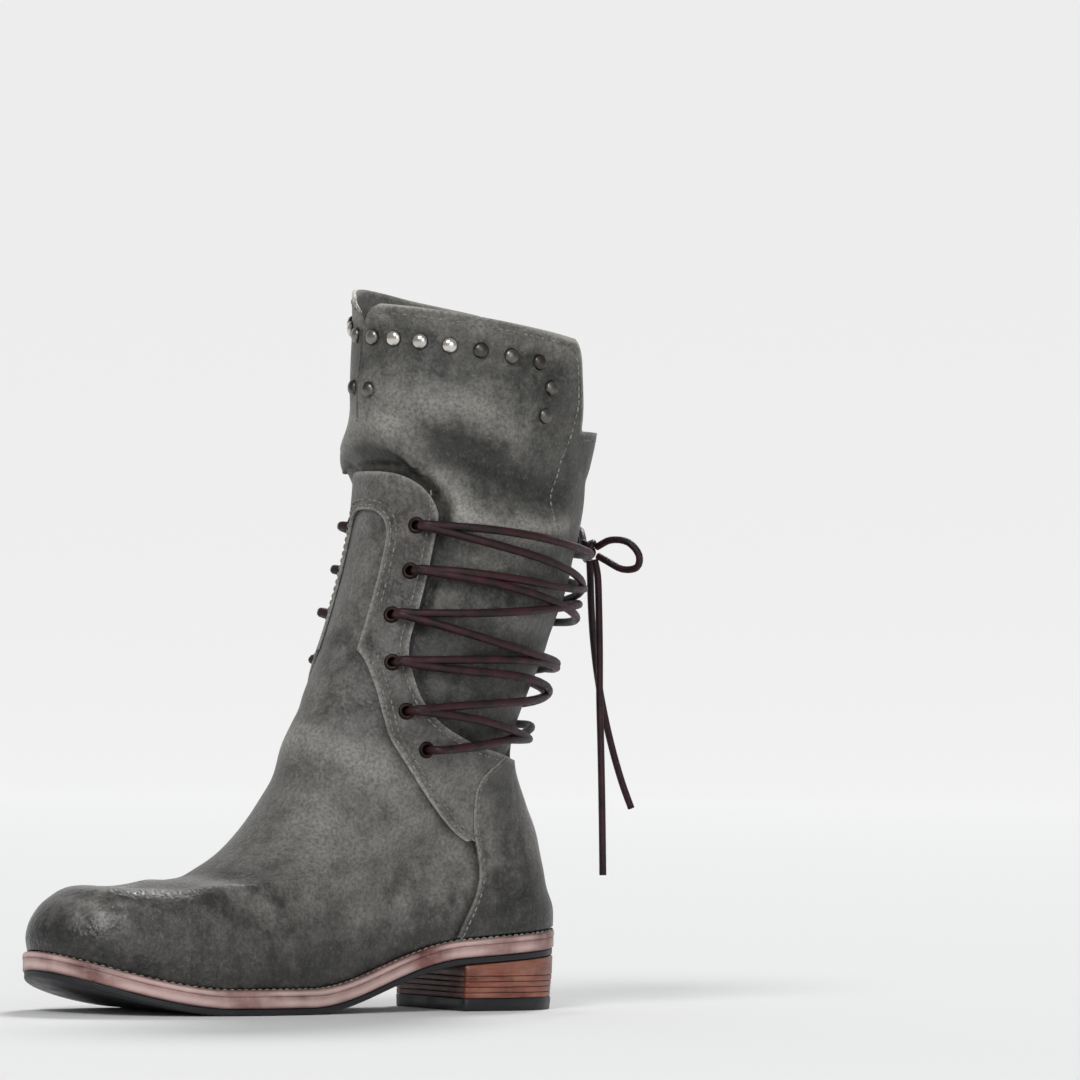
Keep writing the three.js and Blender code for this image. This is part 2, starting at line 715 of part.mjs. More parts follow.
// Cord routes, as offsets from the knot's centre
const cordRoutes = {
  lace_loop_lateral: [
    [1.5, -5.4, 0.6],
    [4, -14, 4],
    [8, -23, 3],
    [11, -28, -3],
    [12, -25, -9],
    [9, -17, -10],
    [5, -9, -6],
    [2.8, -4.6, -3.6],
  ],
  lace_loop_medial: [
    [1.5, 5.4, 0.6],
    [5, 13, 7],
    [9, 21, 9],
    [13, 27, 6],
    [14, 26, -1],
    [11, 18, -5],
    [6, 10, -5],
    [2.8, 4.6, -3.6],
  ],
  lace_end_lateral: [
    [2.6, -2.2, -5.6],
    [3.4, -4, -14],
    [3, -6, -30],
    [2.4, -8, -50],
    [2.2, -9, -72],
    [2.6, -10, -94],
    [3.2, -10.5, -116],
    [4, -10.5, -138],
    [5, -10, -158],
  ],
  lace_end_medial: [
    [2.6, 2.2, -5.6],
    [4.4, 4, -14],
    [6.5, 6, -28],
    [9, 7.5, -44],
    [12.5, 8.5, -62],
    [17, 9, -80],
    [22, 9, -97],
    [27.5, 8.5, -113],
    [33, 8, -126],
  ],
};
const cordStep = 2.6 * laceDiameter;
const cordStepsMin = 6;
function cordGeometry(offsets) {
  const points = offsets.map(([x, y, z]) => new THREE.Vector3(x, y, z).add(knotCentre));
  const path = new THREE.CatmullRomCurve3(points);
  const steps = Math.max(cordStepsMin, Math.round(path.getLength() / cordStep));
  return tubeGeometry(path, laceRadius, cordSides, steps);
}

// Materials
const finish = (color, roughness, metalness = 0) => (
  new THREE.MeshStandardMaterial({ color, roughness, metalness })
);
const vampLeather = finish(0x595b57, 0.6);
const shaftLeather = finish(0x63655f, 0.65);
const tanLeather = finish(0x9a6658, 0.55);
const heelLeather = finish(0x9c5a40, 0.5);
const blackRubber = finish(0x17181d, 0.7);
const insoleLeather = finish(0x7a6450, 0.8);
const laceLeather = finish(0x2c1b1e, 0.55);
const agedBrass = finish(0x6b5c4c, 0.35, 1);

const boot = new THREE.Group();
function add(name, geometry, material) {
  const mesh = new THREE.Mesh(geometry, material);
  mesh.name = name;
  boot.add(mesh);
}

add('outsole', soleLayer(() => 1, 0, outsoleThickness), blackRubber);
add('midsole', soleLayer(() => 0.5, midsoleLevel, midsoleLevel + midsoleThickness), tanLeather);
add('welt', soleLayer(() => 0, weltLevel, weltLevel + weltThickness), tanLeather);
const insoleInset = (share) => ledgeAt(share) + upperWall + insoleGap;
add('insole', soleLayer(insoleInset, featherLevel, insoleTop), insoleLeather);
add('heel_top_lift', heelLift(0, topLiftThickness), blackRubber);
const firstLift = topLiftThickness + gap;
add('heel_lift_1', heelLift(firstLift, firstLift + heelLiftThickness), heelLeather);
const secondLift = firstLift + heelLiftThickness + gap;
add('heel_lift_2', heelLift(secondLift, secondLift + heelLiftThickness), heelLeather);
const seatLift = secondLift + heelLiftThickness + gap;
add('heel_seat_lift', heelLift(seatLift, breastHeight, true), heelLeather);
add('upper', geometryOfSolid(upperSolid), vampLeather);
add('counter', geometryOfSolid(counterSolid), vampLeather);
add('facing', geometryOfSolid(facingSolid), vampLeather);
add('shaft', geometryOfSolid(shaftSolid), shaftLeather);
eyelets.forEach(({ side, point, normal }, index) => {
  const name = `eyelet_${side}_${Math.floor(index / 2) + 1}`;
  add(name, orientedAlong(eyeletGeometry, point, normal), agedBrass);
});
for (const side of ['lateral', 'medial']) {
  studPlaces.forEach(({ turn, below }, index) => {
    const sided = side === 'lateral' ? turn : 2 * Math.PI - turn;
    const { point, normal } = atHeight(shaftPoint, sided, studHeightAt(sided, below), shaftTop);
    add(`stud_${side}_${index + 1}`, orientedAlong(studGeometry, point, normal), agedBrass);
  });
}
add('lace_crossings', geometryOfSolid(laceSolid), laceLeather);
add('lace_knot', knotGeometry, laceLeather);
for (const [name, offsets] of Object.entries(cordRoutes)) {
  add(name, cordGeometry(offsets), laceLeather);
}

export default boot;
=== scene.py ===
"""Looks of a left lace-back boot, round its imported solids.

Sizes are millimetres in the boot's frame and become metres when a mesh is made. The toe
points along -X, the outer side of the foot lies at -Y, and the floor is z = 0.
"""
import math

import bpy
import numpy as np
from mathutils import Matrix, Vector, noise


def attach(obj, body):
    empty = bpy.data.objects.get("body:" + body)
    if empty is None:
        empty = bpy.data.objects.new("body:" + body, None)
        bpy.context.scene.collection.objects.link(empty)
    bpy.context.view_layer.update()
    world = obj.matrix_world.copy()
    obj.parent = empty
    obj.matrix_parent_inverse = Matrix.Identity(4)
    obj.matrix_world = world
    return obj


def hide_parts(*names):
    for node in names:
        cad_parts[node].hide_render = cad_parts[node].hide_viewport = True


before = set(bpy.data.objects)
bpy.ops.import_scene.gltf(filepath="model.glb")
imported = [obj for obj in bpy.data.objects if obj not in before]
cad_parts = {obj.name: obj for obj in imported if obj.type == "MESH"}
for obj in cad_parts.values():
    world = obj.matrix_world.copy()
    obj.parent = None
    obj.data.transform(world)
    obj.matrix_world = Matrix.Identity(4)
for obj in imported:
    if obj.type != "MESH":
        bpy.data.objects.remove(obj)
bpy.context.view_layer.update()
MM = 0.001

# Sole sizes
SOLE_LENGTH = 280
HEEL_REAR_X = 34
BALL_WIDTH = 100
TOE_SPRING = 17
BREAST_HEIGHT = 22
SEAT_HEIGHT = 26.5
HEEL_LENGTH = 66
HEEL_TAPER = 2
BREAST_HOLLOW = 4
OUTSOLE_THICKNESS = 3.2
MIDSOLE_THICKNESS = 5.2
WELT_THICKNESS = 3.2
INSOLE_THICKNESS = 3
INSOLE_GAP = 1.3
FEATHER_GAP = 0.6
SEAT_INSET = 0.4
WELT_REACH = 4.5
HEEL_REACH = 2
TOP_LIFT_THICKNESS = 6
TREAD_FRONT_SHARE = 0.27
TREAD_REAR_SHARE = 0.43
TOE_CURVE = 1.7

# Upper sizes
INSTEP_REACH = 277
TAB_HEIGHT = 256
SHAFT_DEPTH = 122
SHAFT_WIDTH = 102
BOOT_HEIGHT = 336
UPPER_WALL = 2
SHAFT_WALL = 1.8
OVERLAY_WALL = 1.3
GAP = 0.3
COLLAR_CENTRE_X = -10
COLLAR_DROP = 20
MEDIAL_RISE = 14
BACK_STRIP_HEIGHT = 277
FLAP_CORNER = 15
FLAP_REAR_X = 24
FLAP_CORNER_TURN = math.radians(105)
SLIT_HALF = 2.5
TAB_HALF_WIDTH = 36
TAB_CORNER = 27
VAMP_TAB_HALF_WIDTH = 17
VAMP_TAB_HEIGHT = 238
VAMP_TAB_CORNER = 15

# Eyelets, studs and lace
EYELET_HOLE = 2.3
EYELET_FLANGE = 4
STUD_RADIUS = 3.75
STUD_HEIGHT = 2.6
STUD_INSET = 16
LACE_RADIUS = 1.75
LACE_STAND_OFF = 8
EYELET_SEAT_GAP = 0.5
EYELET_RISE = 0.9
LACE_REST = GAP + OVERLAY_WALL + EYELET_SEAT_GAP + EYELET_RISE + 2 * GAP + LACE_RADIUS
KNOT_HEIGHT = 222
KNOT_RADIUS = 5
KNOT_SINK = 0.6

PLAN_ROWS = [
    # lateral, medial: half widths every 15 degrees from the toe, shares of the ball width
    (-0.060, 0.060), (0.150, 0.245), (0.325, 0.395), (0.435, 0.462), (0.495, 0.482),
    (0.503, 0.447), (0.440, 0.345), (0.365, 0.300), (0.335, 0.310), (0.333, 0.323),
    (0.283, 0.280), (0.165, 0.165), (0.000, 0.000),
]
SECTION_ROWS = [
    # front, front height, rear, rear height, foot, plan scale, half width
    (0.9990, 0.113, 0.000, 0.143, 1.00, 1.000, 0.42),
    (1.0010, 0.142, 0.003, 0.180, 1.00, 1.030, 0.42),
    (0.9900, 0.177, 0.017, 0.219, 1.00, 1.035, 0.42),
    (0.9660, 0.213, 0.024, 0.258, 0.98, 1.010, 0.42),
    (0.9250, 0.243, 0.030, 0.293, 0.93, 0.960, 0.41),
    (0.8650, 0.250, 0.036, 0.324, 0.84, 0.920, 0.41),
    (0.7980, 0.239, 0.045, 0.352, 0.72, 0.890, 0.41),
    (0.7280, 0.243, 0.055, 0.376, 0.58, 0.860, 0.41),
    (0.6580, 0.272, 0.064, 0.399, 0.43, 0.840, 0.41),
    (0.5980, 0.326, 0.074, 0.422, 0.29, 0.830, 0.41),
    (0.5520, 0.396, 0.084, 0.449, 0.17, 0.820, 0.415),
    (0.5140, 0.480, 0.088, 0.481, 0.08, 0.820, 0.42),
    (0.4800, 0.562, 0.080, 0.527, 0.03, 0.820, 0.43),
    (0.4450, 0.645, 0.054, 0.597, 0.00, 0.820, 0.44),
    (0.4160, 0.730, 0.018, 0.683, 0.00, 0.820, 0.45),
    (0.3910, 0.820, -0.014, 0.777, 0.00, 0.820, 0.46),
    (0.3740, 0.908, -0.038, 0.875, 0.00, 0.820, 0.47),
    (0.3660, 1.010, -0.058, 0.985, 0.00, 0.820, 0.48),
]
COLLAR_ROWS = [
    # height, front, rear, half width
    (0.12, 0.524, 0.494, 0.480),
    (0.30, 0.548, 0.513, 0.494),
    (0.52, 0.552, 0.522, 0.508),
    (0.76, 0.548, 0.513, 0.500),
    (1.00, 0.552, 0.507, 0.497),
]
OPENING_EDGE = [
    # share of the upper's length forward of its rear, share of the tab's height
    (0.305, 1.020), (0.303, 0.935), (0.318, 0.840), (0.338, 0.754), (0.358, 0.684),
    (0.360, 0.640), (0.346, 0.578), (0.310, 0.533), (0.245, 0.500), (0.160, 0.478),
    (0.080, 0.464), (-0.200, 0.458),
]
FACING_EDGE = [
    (0.202, 0.301), (0.260, 0.336), (0.336, 0.402), (0.394, 0.492), (0.408, 0.547),
    (0.413, 0.602), (0.421, 0.665), (0.446, 0.735), (0.500, 0.810), (0.600, 0.900),
]
COUNTER_EDGE = [
    (0.150, 0.480), (0.215, 0.432), (0.222, 0.372), (0.205, 0.290), (0.210, 0.225),
    (0.250, 0.130),
]
EYELET_ROWS = [
    # turn in degrees, height, back crossing, shares of the tab's height
    (37, 0.900, 0.850),
    (39, 0.815, 0.785),
    (36, 0.733, 0.715),
    (45, 0.645, 0.645),
    (62, 0.556, 0.575),
    (79, 0.486, 0.520),
]
LAST_ROW = len(SECTION_ROWS) - 1
COLLAR_START = LAST_ROW + 1
SHAFT_TOP = COLLAR_START + len(COLLAR_ROWS) - 1
SOLE_FOLLOW_ROWS = 9
UPPER_REAR_X = HEEL_REAR_X - HEEL_REACH
FAR = 400


def smooth(s):
    s = np.clip(s, 0, 1)
    return s * s * (3 - 2 * s)


def mix(a, b, s):
    return a + (b - a) * s


def along(values, row):
    """Catmull-Rom value at a real row index of a list."""
    values = np.asarray(values, float)
    last = len(values) - 1
    i = np.clip(np.floor(row), 0, last - 1).astype(int)
    s = row - i
    b = values[i]
    c = values[i + 1]
    a = np.where(i > 0, values[np.maximum(i - 1, 0)], 2 * b - c)
    d = np.where(i + 2 <= last, values[np.minimum(i + 2, last)], 2 * c - b)
    return b + 0.5 * s * (c - a + s * (2 * a - 5 * b + 4 * c - d + s * (3 * (b - c) + d - a)))


def share_at(turn):
    return (1 - np.cos(turn)) / 2


def plan_at(turn):
    """The sole's outline: x and y at a turn angle, lateral side first."""
    turn = np.mod(turn, 2 * math.pi)
    lateral = turn <= math.pi
    row = np.where(lateral, turn, 2 * math.pi - turn) / math.radians(15)
    outer = -along([pair[0] for pair in PLAN_ROWS], row)
    inner = along([pair[1] for pair in PLAN_ROWS], row)
    x = HEEL_REAR_X - SOLE_LENGTH * (1 - share_at(turn))
    return x, BALL_WIDTH * np.where(lateral, outer, inner)


def plan_point(turn, inset):
    step = 0.02
    x0, y0 = plan_at(turn - step)
    x1, y1 = plan_at(turn + step)
    length = np.hypot(x1 - x0, y1 - y0)
    x, y = plan_at(turn)
    return x - (y1 - y0) / length * inset, y + (x1 - x0) / length * inset


def sole_height(x):
    share = np.clip(1 - (HEEL_REAR_X - x) / SOLE_LENGTH, 0, 1)
    breast = 1 - HEEL_LENGTH / SOLE_LENGTH
    slope = (SEAT_HEIGHT - BREAST_HEIGHT) / (1 - breast)
    span = breast - TREAD_REAR_SHARE
    s = np.clip((share - TREAD_REAR_SHARE) / span, 0, 1)
    height = BREAST_HEIGHT * smooth(s) + slope * span * (s ** 3 - s ** 2)
    height = np.where(share > breast, BREAST_HEIGHT + slope * (share - breast), height)
    spring = TOE_SPRING * np.clip(1 - share / TREAD_FRONT_SHARE, 0, 1) ** TOE_CURVE
    return np.where(share < TREAD_FRONT_SHARE, spring, height)


def ledge_at(share):
    return mix(WELT_REACH, HEEL_REACH, smooth((share - 0.55) / 0.25))


MIDSOLE_LEVEL = OUTSOLE_THICKNESS + GAP
WELT_LEVEL = MIDSOLE_LEVEL + MIDSOLE_THICKNESS + GAP
INSOLE_LEVEL = WELT_LEVEL + WELT_THICKNESS + GAP
FEATHER_LEVEL = WELT_LEVEL + WELT_THICKNESS + FEATHER_GAP


def boot_form(turn, row):
    """Points of the boot's form at a turn angle, 0 at the front, and a section row."""
    turn, row = np.broadcast_arrays(np.asarray(turn, float), np.asarray(row, float))
    turn = np.mod(turn, 2 * math.pi)
    columns = [along(column, row) for column in zip(*SECTION_ROWS)]
    front, front_height, rear, rear_height, foot, plan_scale, half_width = columns
    share = share_at(turn)
    side = np.where(turn <= math.pi, -1.0, 1.0)
    x = UPPER_REAR_X - INSTEP_REACH * mix(front, rear, share)
    _, plan_y = plan_point(turn, ledge_at(share))
    foot_y = plan_y * plan_scale
    leg_y = side * SHAFT_WIDTH * half_width * np.abs(np.sin(turn))
    rise = TAB_HEIGHT * mix(front_height, rear_height, share)
    lowest = TAB_HEIGHT * mix(SECTION_ROWS[0][1], SECTION_ROWS[0][3], share)
    follow = 1 - smooth(row / SOLE_FOLLOW_ROWS)
    z = rise + (sole_height(x) + FEATHER_LEVEL - lowest) * follow
    return np.stack([x, mix(leg_y, foot_y, np.clip(foot, 0, 1)), z], -1)


def collar_top(turn):
    return BOOT_HEIGHT - COLLAR_DROP * share_at(turn) + MEDIAL_RISE * smooth(-np.sin(turn))


def shaft_form(turn, row):
    """Points of the shaft's form: the boot's form, then the collar's rings."""
    turn, row = np.broadcast_arrays(np.asarray(turn, float), np.asarray(row, float))
    turn = np.mod(turn, 2 * math.pi)
    share = share_at(turn)
    side = np.where(turn <= math.pi, -1.0, 1.0)
    step = np.maximum(row - COLLAR_START, 0)
    height, front, rear, half_width = [along(column, step) for column in zip(*COLLAR_ROWS)]
    base = boot_form(turn, np.full(row.shape, float(LAST_ROW)))
    x = COLLAR_CENTRE_X + SHAFT_DEPTH * mix(-front, rear, share)
    y = side * SHAFT_WIDTH * half_width * np.abs(np.sin(turn))
    collar = np.stack([x, y, mix(base[..., 2], collar_top(turn), height)], -1)
    low = boot_form(turn, np.minimum(row, LAST_ROW))
    return mix(low, collar, smooth(row - LAST_ROW)[..., None])


def normal_of(form, turn, row, top):
    across = form(turn + 0.03, row) - form(turn - 0.03, row)
    up = form(turn, np.minimum(row + 0.12, top)) - form(turn, np.maximum(row - 0.12, 0))
    normal = np.cross(across, up)
    return normal / np.linalg.norm(normal, axis=-1, keepdims=True)


def row_at(form, turn, height, top):
    """The section row where a form reaches a height at a turn angle."""
    low, high = 0.0, float(top)
    for _ in range(40):
        middle = (low + high) / 2
        if form(turn, middle)[2] < height:
            low = middle
        else:
            high = middle
    return low


def at_height(form, turn, height, top):
    """Point and normal of a form at a turn angle and a height."""
    row = row_at(form, turn, height, top)
    return form(turn, row), normal_of(form, turn, row, top)


def band(value, middle, width):
    """1 at a middle value, fading to 0 over a width on both sides."""
    return np.exp(-((value - middle) / width) ** 2)


def from_edge(distance, width):
    """1 at and before an edge, fading to 0 over a width past it."""
    return band(np.clip(distance, 0, None), 0, width)


def spots_at(p, spots):
    """Soft spots in the side view, each a strength, x, half length, z and half height."""
    return sum(
        strength * band(p[..., 0], x, length) * band(p[..., 2], z, height)
        for strength, x, length, z, height in spots
    )


# Outlines in the side view and the front view

def curve_through(points, steps=8):
    """A smooth line through points, more points between each two."""
    points = np.asarray(points, float)
    rows = np.linspace(0, len(points) - 1, (len(points) - 1) * steps + 1)
    return np.stack([along(points[:, k], rows) for k in range(points.shape[1])], -1)


def placed(edge):
    return [(UPPER_REAR_X - INSTEP_REACH * f, TAB_HEIGHT * h) for f, h in edge]


def bend(a, b, c, steps=9):
    """A corner's curve from a to c, pulled towards b."""
    s = np.linspace(0, 1, steps)
    return (1 - s) ** 2 * a + 2 * s * (1 - s) * b + s ** 2 * c


def arch(half, top, corner, bottom):
    """A panel's outline in the front view, with its two upper corners rounded."""
    right = list(zip(bend(half, half, half - corner), bend(top - corner, top, top)))
    left = [(-y, z) for y, z in reversed(right)]
    return [(half, bottom), *right, *left, (-half, bottom)]


def to_segment(px, pz, ax, az, dx, dz):
    s = np.clip(((px - ax) * dx + (pz - az) * dz) / max(dx * dx + dz * dz, 1e-9), 0, 1)
    return np.hypot(px - ax - s * dx, pz - az - s * dz)


def inside(px, pz, polygon):
    """Signed distance of points to a polygon's edge, positive inside it."""
    polygon = np.asarray(polygon, float)
    nearest = np.full(px.shape, 1e9)
    winding = np.zeros(px.shape, bool)
    for (ax, az), (bx, bz) in zip(polygon, np.roll(polygon, -1, 0)):
        nearest = np.minimum(nearest, to_segment(px, pz, ax, az, bx - ax, bz - az))
        if bz != az:
            crosses = (az > pz) != (bz > pz)
            winding ^= crosses & (px < ax + (pz - az) / (bz - az) * (bx - ax))
    return np.where(winding, nearest, -nearest)


def near_line(px, pz, line):
    """Distance of points to an open line."""
    nearest = np.full(px.shape, 1e9)
    for (ax, az), (bx, bz) in zip(line[:-1], line[1:]):
        nearest = np.minimum(nearest, to_segment(px, pz, ax, az, bx - ax, bz - az))
    return nearest


opening_line = curve_through(placed(OPENING_EDGE))
opening_region = [*opening_line, (FAR, 2 * FAR), (opening_line[0][0], 2 * FAR)]
facing_line = curve_through(placed(FACING_EDGE))
facing_region = [*facing_line, (-FAR, facing_line[-1][1]), (-FAR, 2 * FAR), (FAR, 2 * FAR),
                 (FAR, facing_line[0][1])]
counter_line = curve_through(placed(COUNTER_EDGE))
counter_region = [*counter_line, (FAR, -FAR), (FAR, counter_line[0][1])]
tab_arch = arch(TAB_HALF_WIDTH, TAB_HEIGHT, TAB_CORNER, 0)
vamp_tab_arch = arch(VAMP_TAB_HALF_WIDTH, VAMP_TAB_HEIGHT, VAMP_TAB_CORNER, 0)
ABOVE_INSTEP = TAB_HEIGHT * 0.7
VAMP_TAB_REAR_X = COLLAR_CENTRE_X - SHAFT_DEPTH / 4


def in_opening(p):
    return inside(p[..., 0], p[..., 2], opening_region)


def in_tab(p):
    """Positive inside the front panel's outline, and everywhere below the instep."""
    arched = inside(p[..., 1], p[..., 2], tab_arch)
    return np.where(p[..., 2] > ABOVE_INSTEP, arched, np.maximum(arched, FAR))


def outside_panel(p):
    """Distance behind or above the front panel's edge, negative on the panel."""
    above = np.where(p[..., 2] > ABOVE_INSTEP, -inside(p[..., 1], p[..., 2], tab_arch), -FAR)
    above = np.where(p[..., 0] < 0, above, FAR)
    return np.maximum(in_opening(p), above)


# Soft marks in the leather, each along a line in the side view: side, points as x and z,
# half width, and height, negative for a trough
UPPER_MARKS = [
    ("both", [(-205, 62), (-193, 59), (-180, 56), (-168, 48)], 7, -1.0),
    ("both", [(-178, 66), (-170, 62), (-160, 54), (-150, 46)], 7, 0.7),
    ("both", [(-166, 68), (-158, 64), (-146, 58), (-136, 50)], 5, -0.9),
    ("lateral", [(-233, 50), (-226, 49), (-219, 46)], 5, 0.7),
    ("lateral", [(-230, 54), (-222, 52)], 3, -0.7),
    ("both", [(-120, 118), (-108, 108), (-94, 98), (-82, 92)], 9, -1.1),
    ("both", [(-112, 132), (-98, 122), (-82, 114)], 8, 0.9),
    ("both", [(-104, 150), (-90, 138), (-74, 130)], 6, -0.9),
    ("lateral", [(-75, 60), (-62, 70), (-50, 84), (-40, 100)], 9, -0.9),
    ("lateral", [(-95, 46), (-75, 50), (-50, 58)], 8, 0.6),
    ("medial", [(-110, 60), (-90, 78), (-66, 92), (-44, 100)], 8, -1.2),
    ("medial", [(-92, 66), (-72, 84), (-50, 96)], 6, 0.8),
]
SHAFT_MARKS = [
    ("lateral", [(-51, 243), (-36, 231), (-16, 229), (10, 231)], 8, 2.6),
    ("lateral", [(-54, 271), (-41, 267), (-27, 259), (-11, 250), (6, 246)], 9, -3.2),
    ("lateral", [(-72, 296), (-60, 288), (-40, 284), (-18, 272)], 9, 1.3),
    ("lateral", [(-58, 258), (-46, 262), (-34, 262)], 6, -1.2),
    ("medial", [(-70, 268), (-50, 250), (-26, 240), (6, 244)], 9, 2.4),
    ("medial", [(-66, 280), (-44, 270), (-20, 258), (4, 256)], 9, -2.6),
    ("medial", [(-40, 300), (-20, 286), (8, 280)], 10, -1.4),
    ("both", [(30, 262), (44, 250), (52, 240)], 7, -1.2),
    ("both", [(-56, 214), (-30, 206), (0, 208), (30, 216)], 5, -0.9),
    ("both", [(-60, 196), (-30, 186), (0, 188), (22, 198)], 6, 0.8),
    ("both", [(-60, 176), (-34, 168), (-6, 170), (16, 180)], 5, -0.9),
    ("both", [(-56, 156), (-30, 148), (-4, 150)], 5, 0.7),
]


def marks_at(p, marks):
    total = np.zeros(p.shape[:-1])
    for side, line, width, height in marks:
        away = near_line(p[..., 0], p[..., 2], curve_through(line, 5)) / width
        bump = height * band(away, 0, 1)
        if side == "lateral":
            bump = bump * smooth(0.5 - p[..., 1] / 16)
        elif side == "medial":
            bump = bump * smooth(0.5 + p[..., 1] / 16)
        total += bump
    return total


def lumps_at(p, size, seed):
    """Smooth noise from -1 to 1 at each point, with features of a size in millimetres."""
    flat = p.reshape(-1, 3) / size + seed
    values = [noise.noise(Vector(point)) for point in flat]
    return np.array(values).reshape(p.shape[:-1])


# Meshes

def clip(channels, faces, field):
    """Keeps the part of a mesh where the channel numbered field is positive."""
    values = channels[:, field]
    values = np.where(np.abs(values) < 0.04, 0.04, values)
    keep = (values > 0).tolist()
    values = values.tolist()
    cut = {}
    extra = []
    kept = []

    def crossing(a, b):
        key = (a, b) if a < b else (b, a)
        if key not in cut:
            s = values[a] / (values[a] - values[b])
            cut[key] = len(channels) + len(extra)
            extra.append(channels[a] + s * (channels[b] - channels[a]))
        return cut[key]

    for face in faces:
        flags = [keep[v] for v in face]
        if all(flags):
            kept.append(face)
        elif any(flags):
            ring = []
            for k, v in enumerate(face):
                w = face[(k + 1) % len(face)]
                if keep[v]:
                    ring.append(v)
                if keep[v] != keep[w]:
                    ring.append(crossing(v, w))
            if len(ring) > 2:
                kept.append(tuple(ring))
    if extra:
        channels = np.vstack([channels, extra])
    return channels, kept


def finish_object(obj, nodes, material):
    obj.data.materials.append(material)
    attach(obj, "root")
    if nodes:
        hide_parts(*nodes)
    return obj


def mesh_object(name, points, faces, layers=None):
    """A mesh from points in millimetres, with a float layer for each named list."""
    used = sorted({v for face in faces for v in face})
    index = {v: k for k, v in enumerate(used)}
    points = np.asarray(points, float)[used] * MM
    mesh = bpy.data.meshes.new(name)
    mesh.from_pydata(points.tolist(), [], [[index[v] for v in face] for face in faces])
    for key, values in (layers or {}).items():
        layer = mesh.attributes.new(key, "FLOAT", "POINT")
        layer.data.foreach_set("value", np.asarray(values, float)[used])
    mesh.shade_smooth()
    obj = bpy.data.objects.new(name, mesh)
    bpy.context.scene.collection.objects.link(obj)
    return obj


def leather_sheet(name, form, top, rows, turns, surface, fields, wall, edge):
    """A sheet of leather on a form, cut to where every field is positive, with rounded edges.

    surface gives the points, their scuffing and painted highlights, shade and gloss; fields give
    signed distances."""
    turn = np.linspace(-math.pi, math.pi, turns + 1)[:-1]
    grid_turn, grid_row = np.meshgrid(turn, rows, indexing="ij")
    base = form(grid_turn, grid_row)
    normal = normal_of(form, grid_turn, grid_row, top)
    points, wear_and_sheen, shade, gloss = surface(base, normal)
    channels = [points[..., 0], points[..., 1], points[..., 2], wear_and_sheen, shade, gloss]
    channels += [field(base) for field in fields]
    channels = np.stack([channel.ravel() for channel in channels], -1)
    count = len(rows)
    faces = []
    for k in range(turns):
        for r in range(count - 1):
            a, b = k * count + r, (k + 1) % turns * count + r
            faces.append((a, b, b + 1, a + 1))
    for k in range(len(fields)):
        channels, faces = clip(channels, faces, 6 + k)
    # The pale layer holds scuffing and painted highlights; the dark layer holds painted shade
    layers = {"wear_and_sheen": channels[:, 3], "shade": channels[:, 4], "gloss": channels[:, 5]}
    obj = mesh_object(name, channels[:, :3], faces, layers)
    solid = obj.modifiers.new("wall", "SOLIDIFY")
    solid.thickness = wall * MM
    solid.offset = -1
    solid.use_even_offset = False
    solid.use_rim = True
    bevel = obj.modifiers.new("edge", "BEVEL")
    bevel.width = edge * MM
    bevel.segments = 2
    bevel.limit_method = "ANGLE"
    bevel.angle_limit = math.radians(50)
    return obj


def ring_faces(rings, count):
    faces = []
    for r in range(rings - 1):
        for k in range(count):
            n = (k + 1) % count
            low, high = r * count, (r + 1) * count
            faces.append((low + k, low + n, high + n, high + k))
    return faces


def end_faces(rings, count):
    """One face at each end of a stack of rings."""
    last = (rings - 1) * count
    return [tuple(reversed(range(count))), tuple(range(last, last + count))]


def stack_object(name, rings, layers=None):
    """A closed stack of rings, bottom first; its flat ends are strips across the ring."""
    count = len(rings[0])
    faces = ring_faces(len(rings), count)
    top = (len(rings) - 1) * count
    for k in range(count // 2):
        quad = [k, k + 1, count - k - 1, (count - k) % count]
        flat = list(dict.fromkeys(quad))
        if len(flat) > 2:
            faces.append(tuple(reversed(flat)))
            faces.append(tuple(top + v for v in flat))
    return mesh_object(name, np.concatenate(rings), faces, layers)


def tube_mesh(points, radius, sides=10):
    """Points and faces of a closed tube along a line."""
    points = np.asarray(points, float)
    tangents = np.gradient(points, axis=0)
    tangents /= np.linalg.norm(tangents, axis=1, keepdims=True)
    side = np.cross(tangents[0], [0, 0, 1.0])
    if np.linalg.norm(side) < 0.1:
        side = np.cross(tangents[0], [0, 1.0, 0])
    rings = []
    angles = np.linspace(0, 2 * math.pi, sides, endpoint=False)
    for point, tangent in zip(points, tangents):
        side = side - tangent * np.dot(side, tangent)
        side /= np.linalg.norm(side)
        other = np.cross(tangent, side)
        circle = np.outer(np.cos(angles), side) + np.outer(np.sin(angles), other)
        rings.append(point + radius * circle)
    count = len(rings)
    return np.concatenate(rings), ring_faces(count, sides) + end_faces(count, sides)


def joined(parts):
    """One list of points and faces from several."""
    points = []
    faces = []
    for part_points, part_faces in parts:
        faces += [tuple(len(points) + v for v in face) for face in part_faces]
        points += list(np.asarray(part_points))
    return np.array(points), faces


def lathe_mesh(profile, sides=28):
    """Points and faces of a turned shape about +Z from radius and height pairs, closed."""
    angles = np.linspace(0, 2 * math.pi, sides, endpoint=False)
    circle = np.stack([np.cos(angles), np.sin(angles), 0 * angles], -1)
    rings = [r * circle + [0, 0, z] for r, z in profile]
    faces = ring_faces(len(rings), sides)
    if profile[0] != profile[-1]:
        return np.concatenate(rings), faces + end_faces(len(rings), sides)
    count = (len(rings) - 1) * sides
    return np.concatenate(rings[:-1]), [tuple(v % count for v in face) for face in faces]


def oriented(points, place, normal):
    turn = Vector((0, 0, 1)).rotation_difference(Vector(normal)).to_matrix()
    return np.asarray(points) @ np.array(turn).T + np.asarray(place)


# Materials

def colour(code):
    """Linear colour from a screen colour's code."""
    parts = [int(code[k:k + 2], 16) / 255 for k in (0, 2, 4)]
    linear = [c / 12.92 if c <= 0.04045 else ((c + 0.055) / 1.055) ** 2.4 for c in parts]
    return (*linear, 1.0)


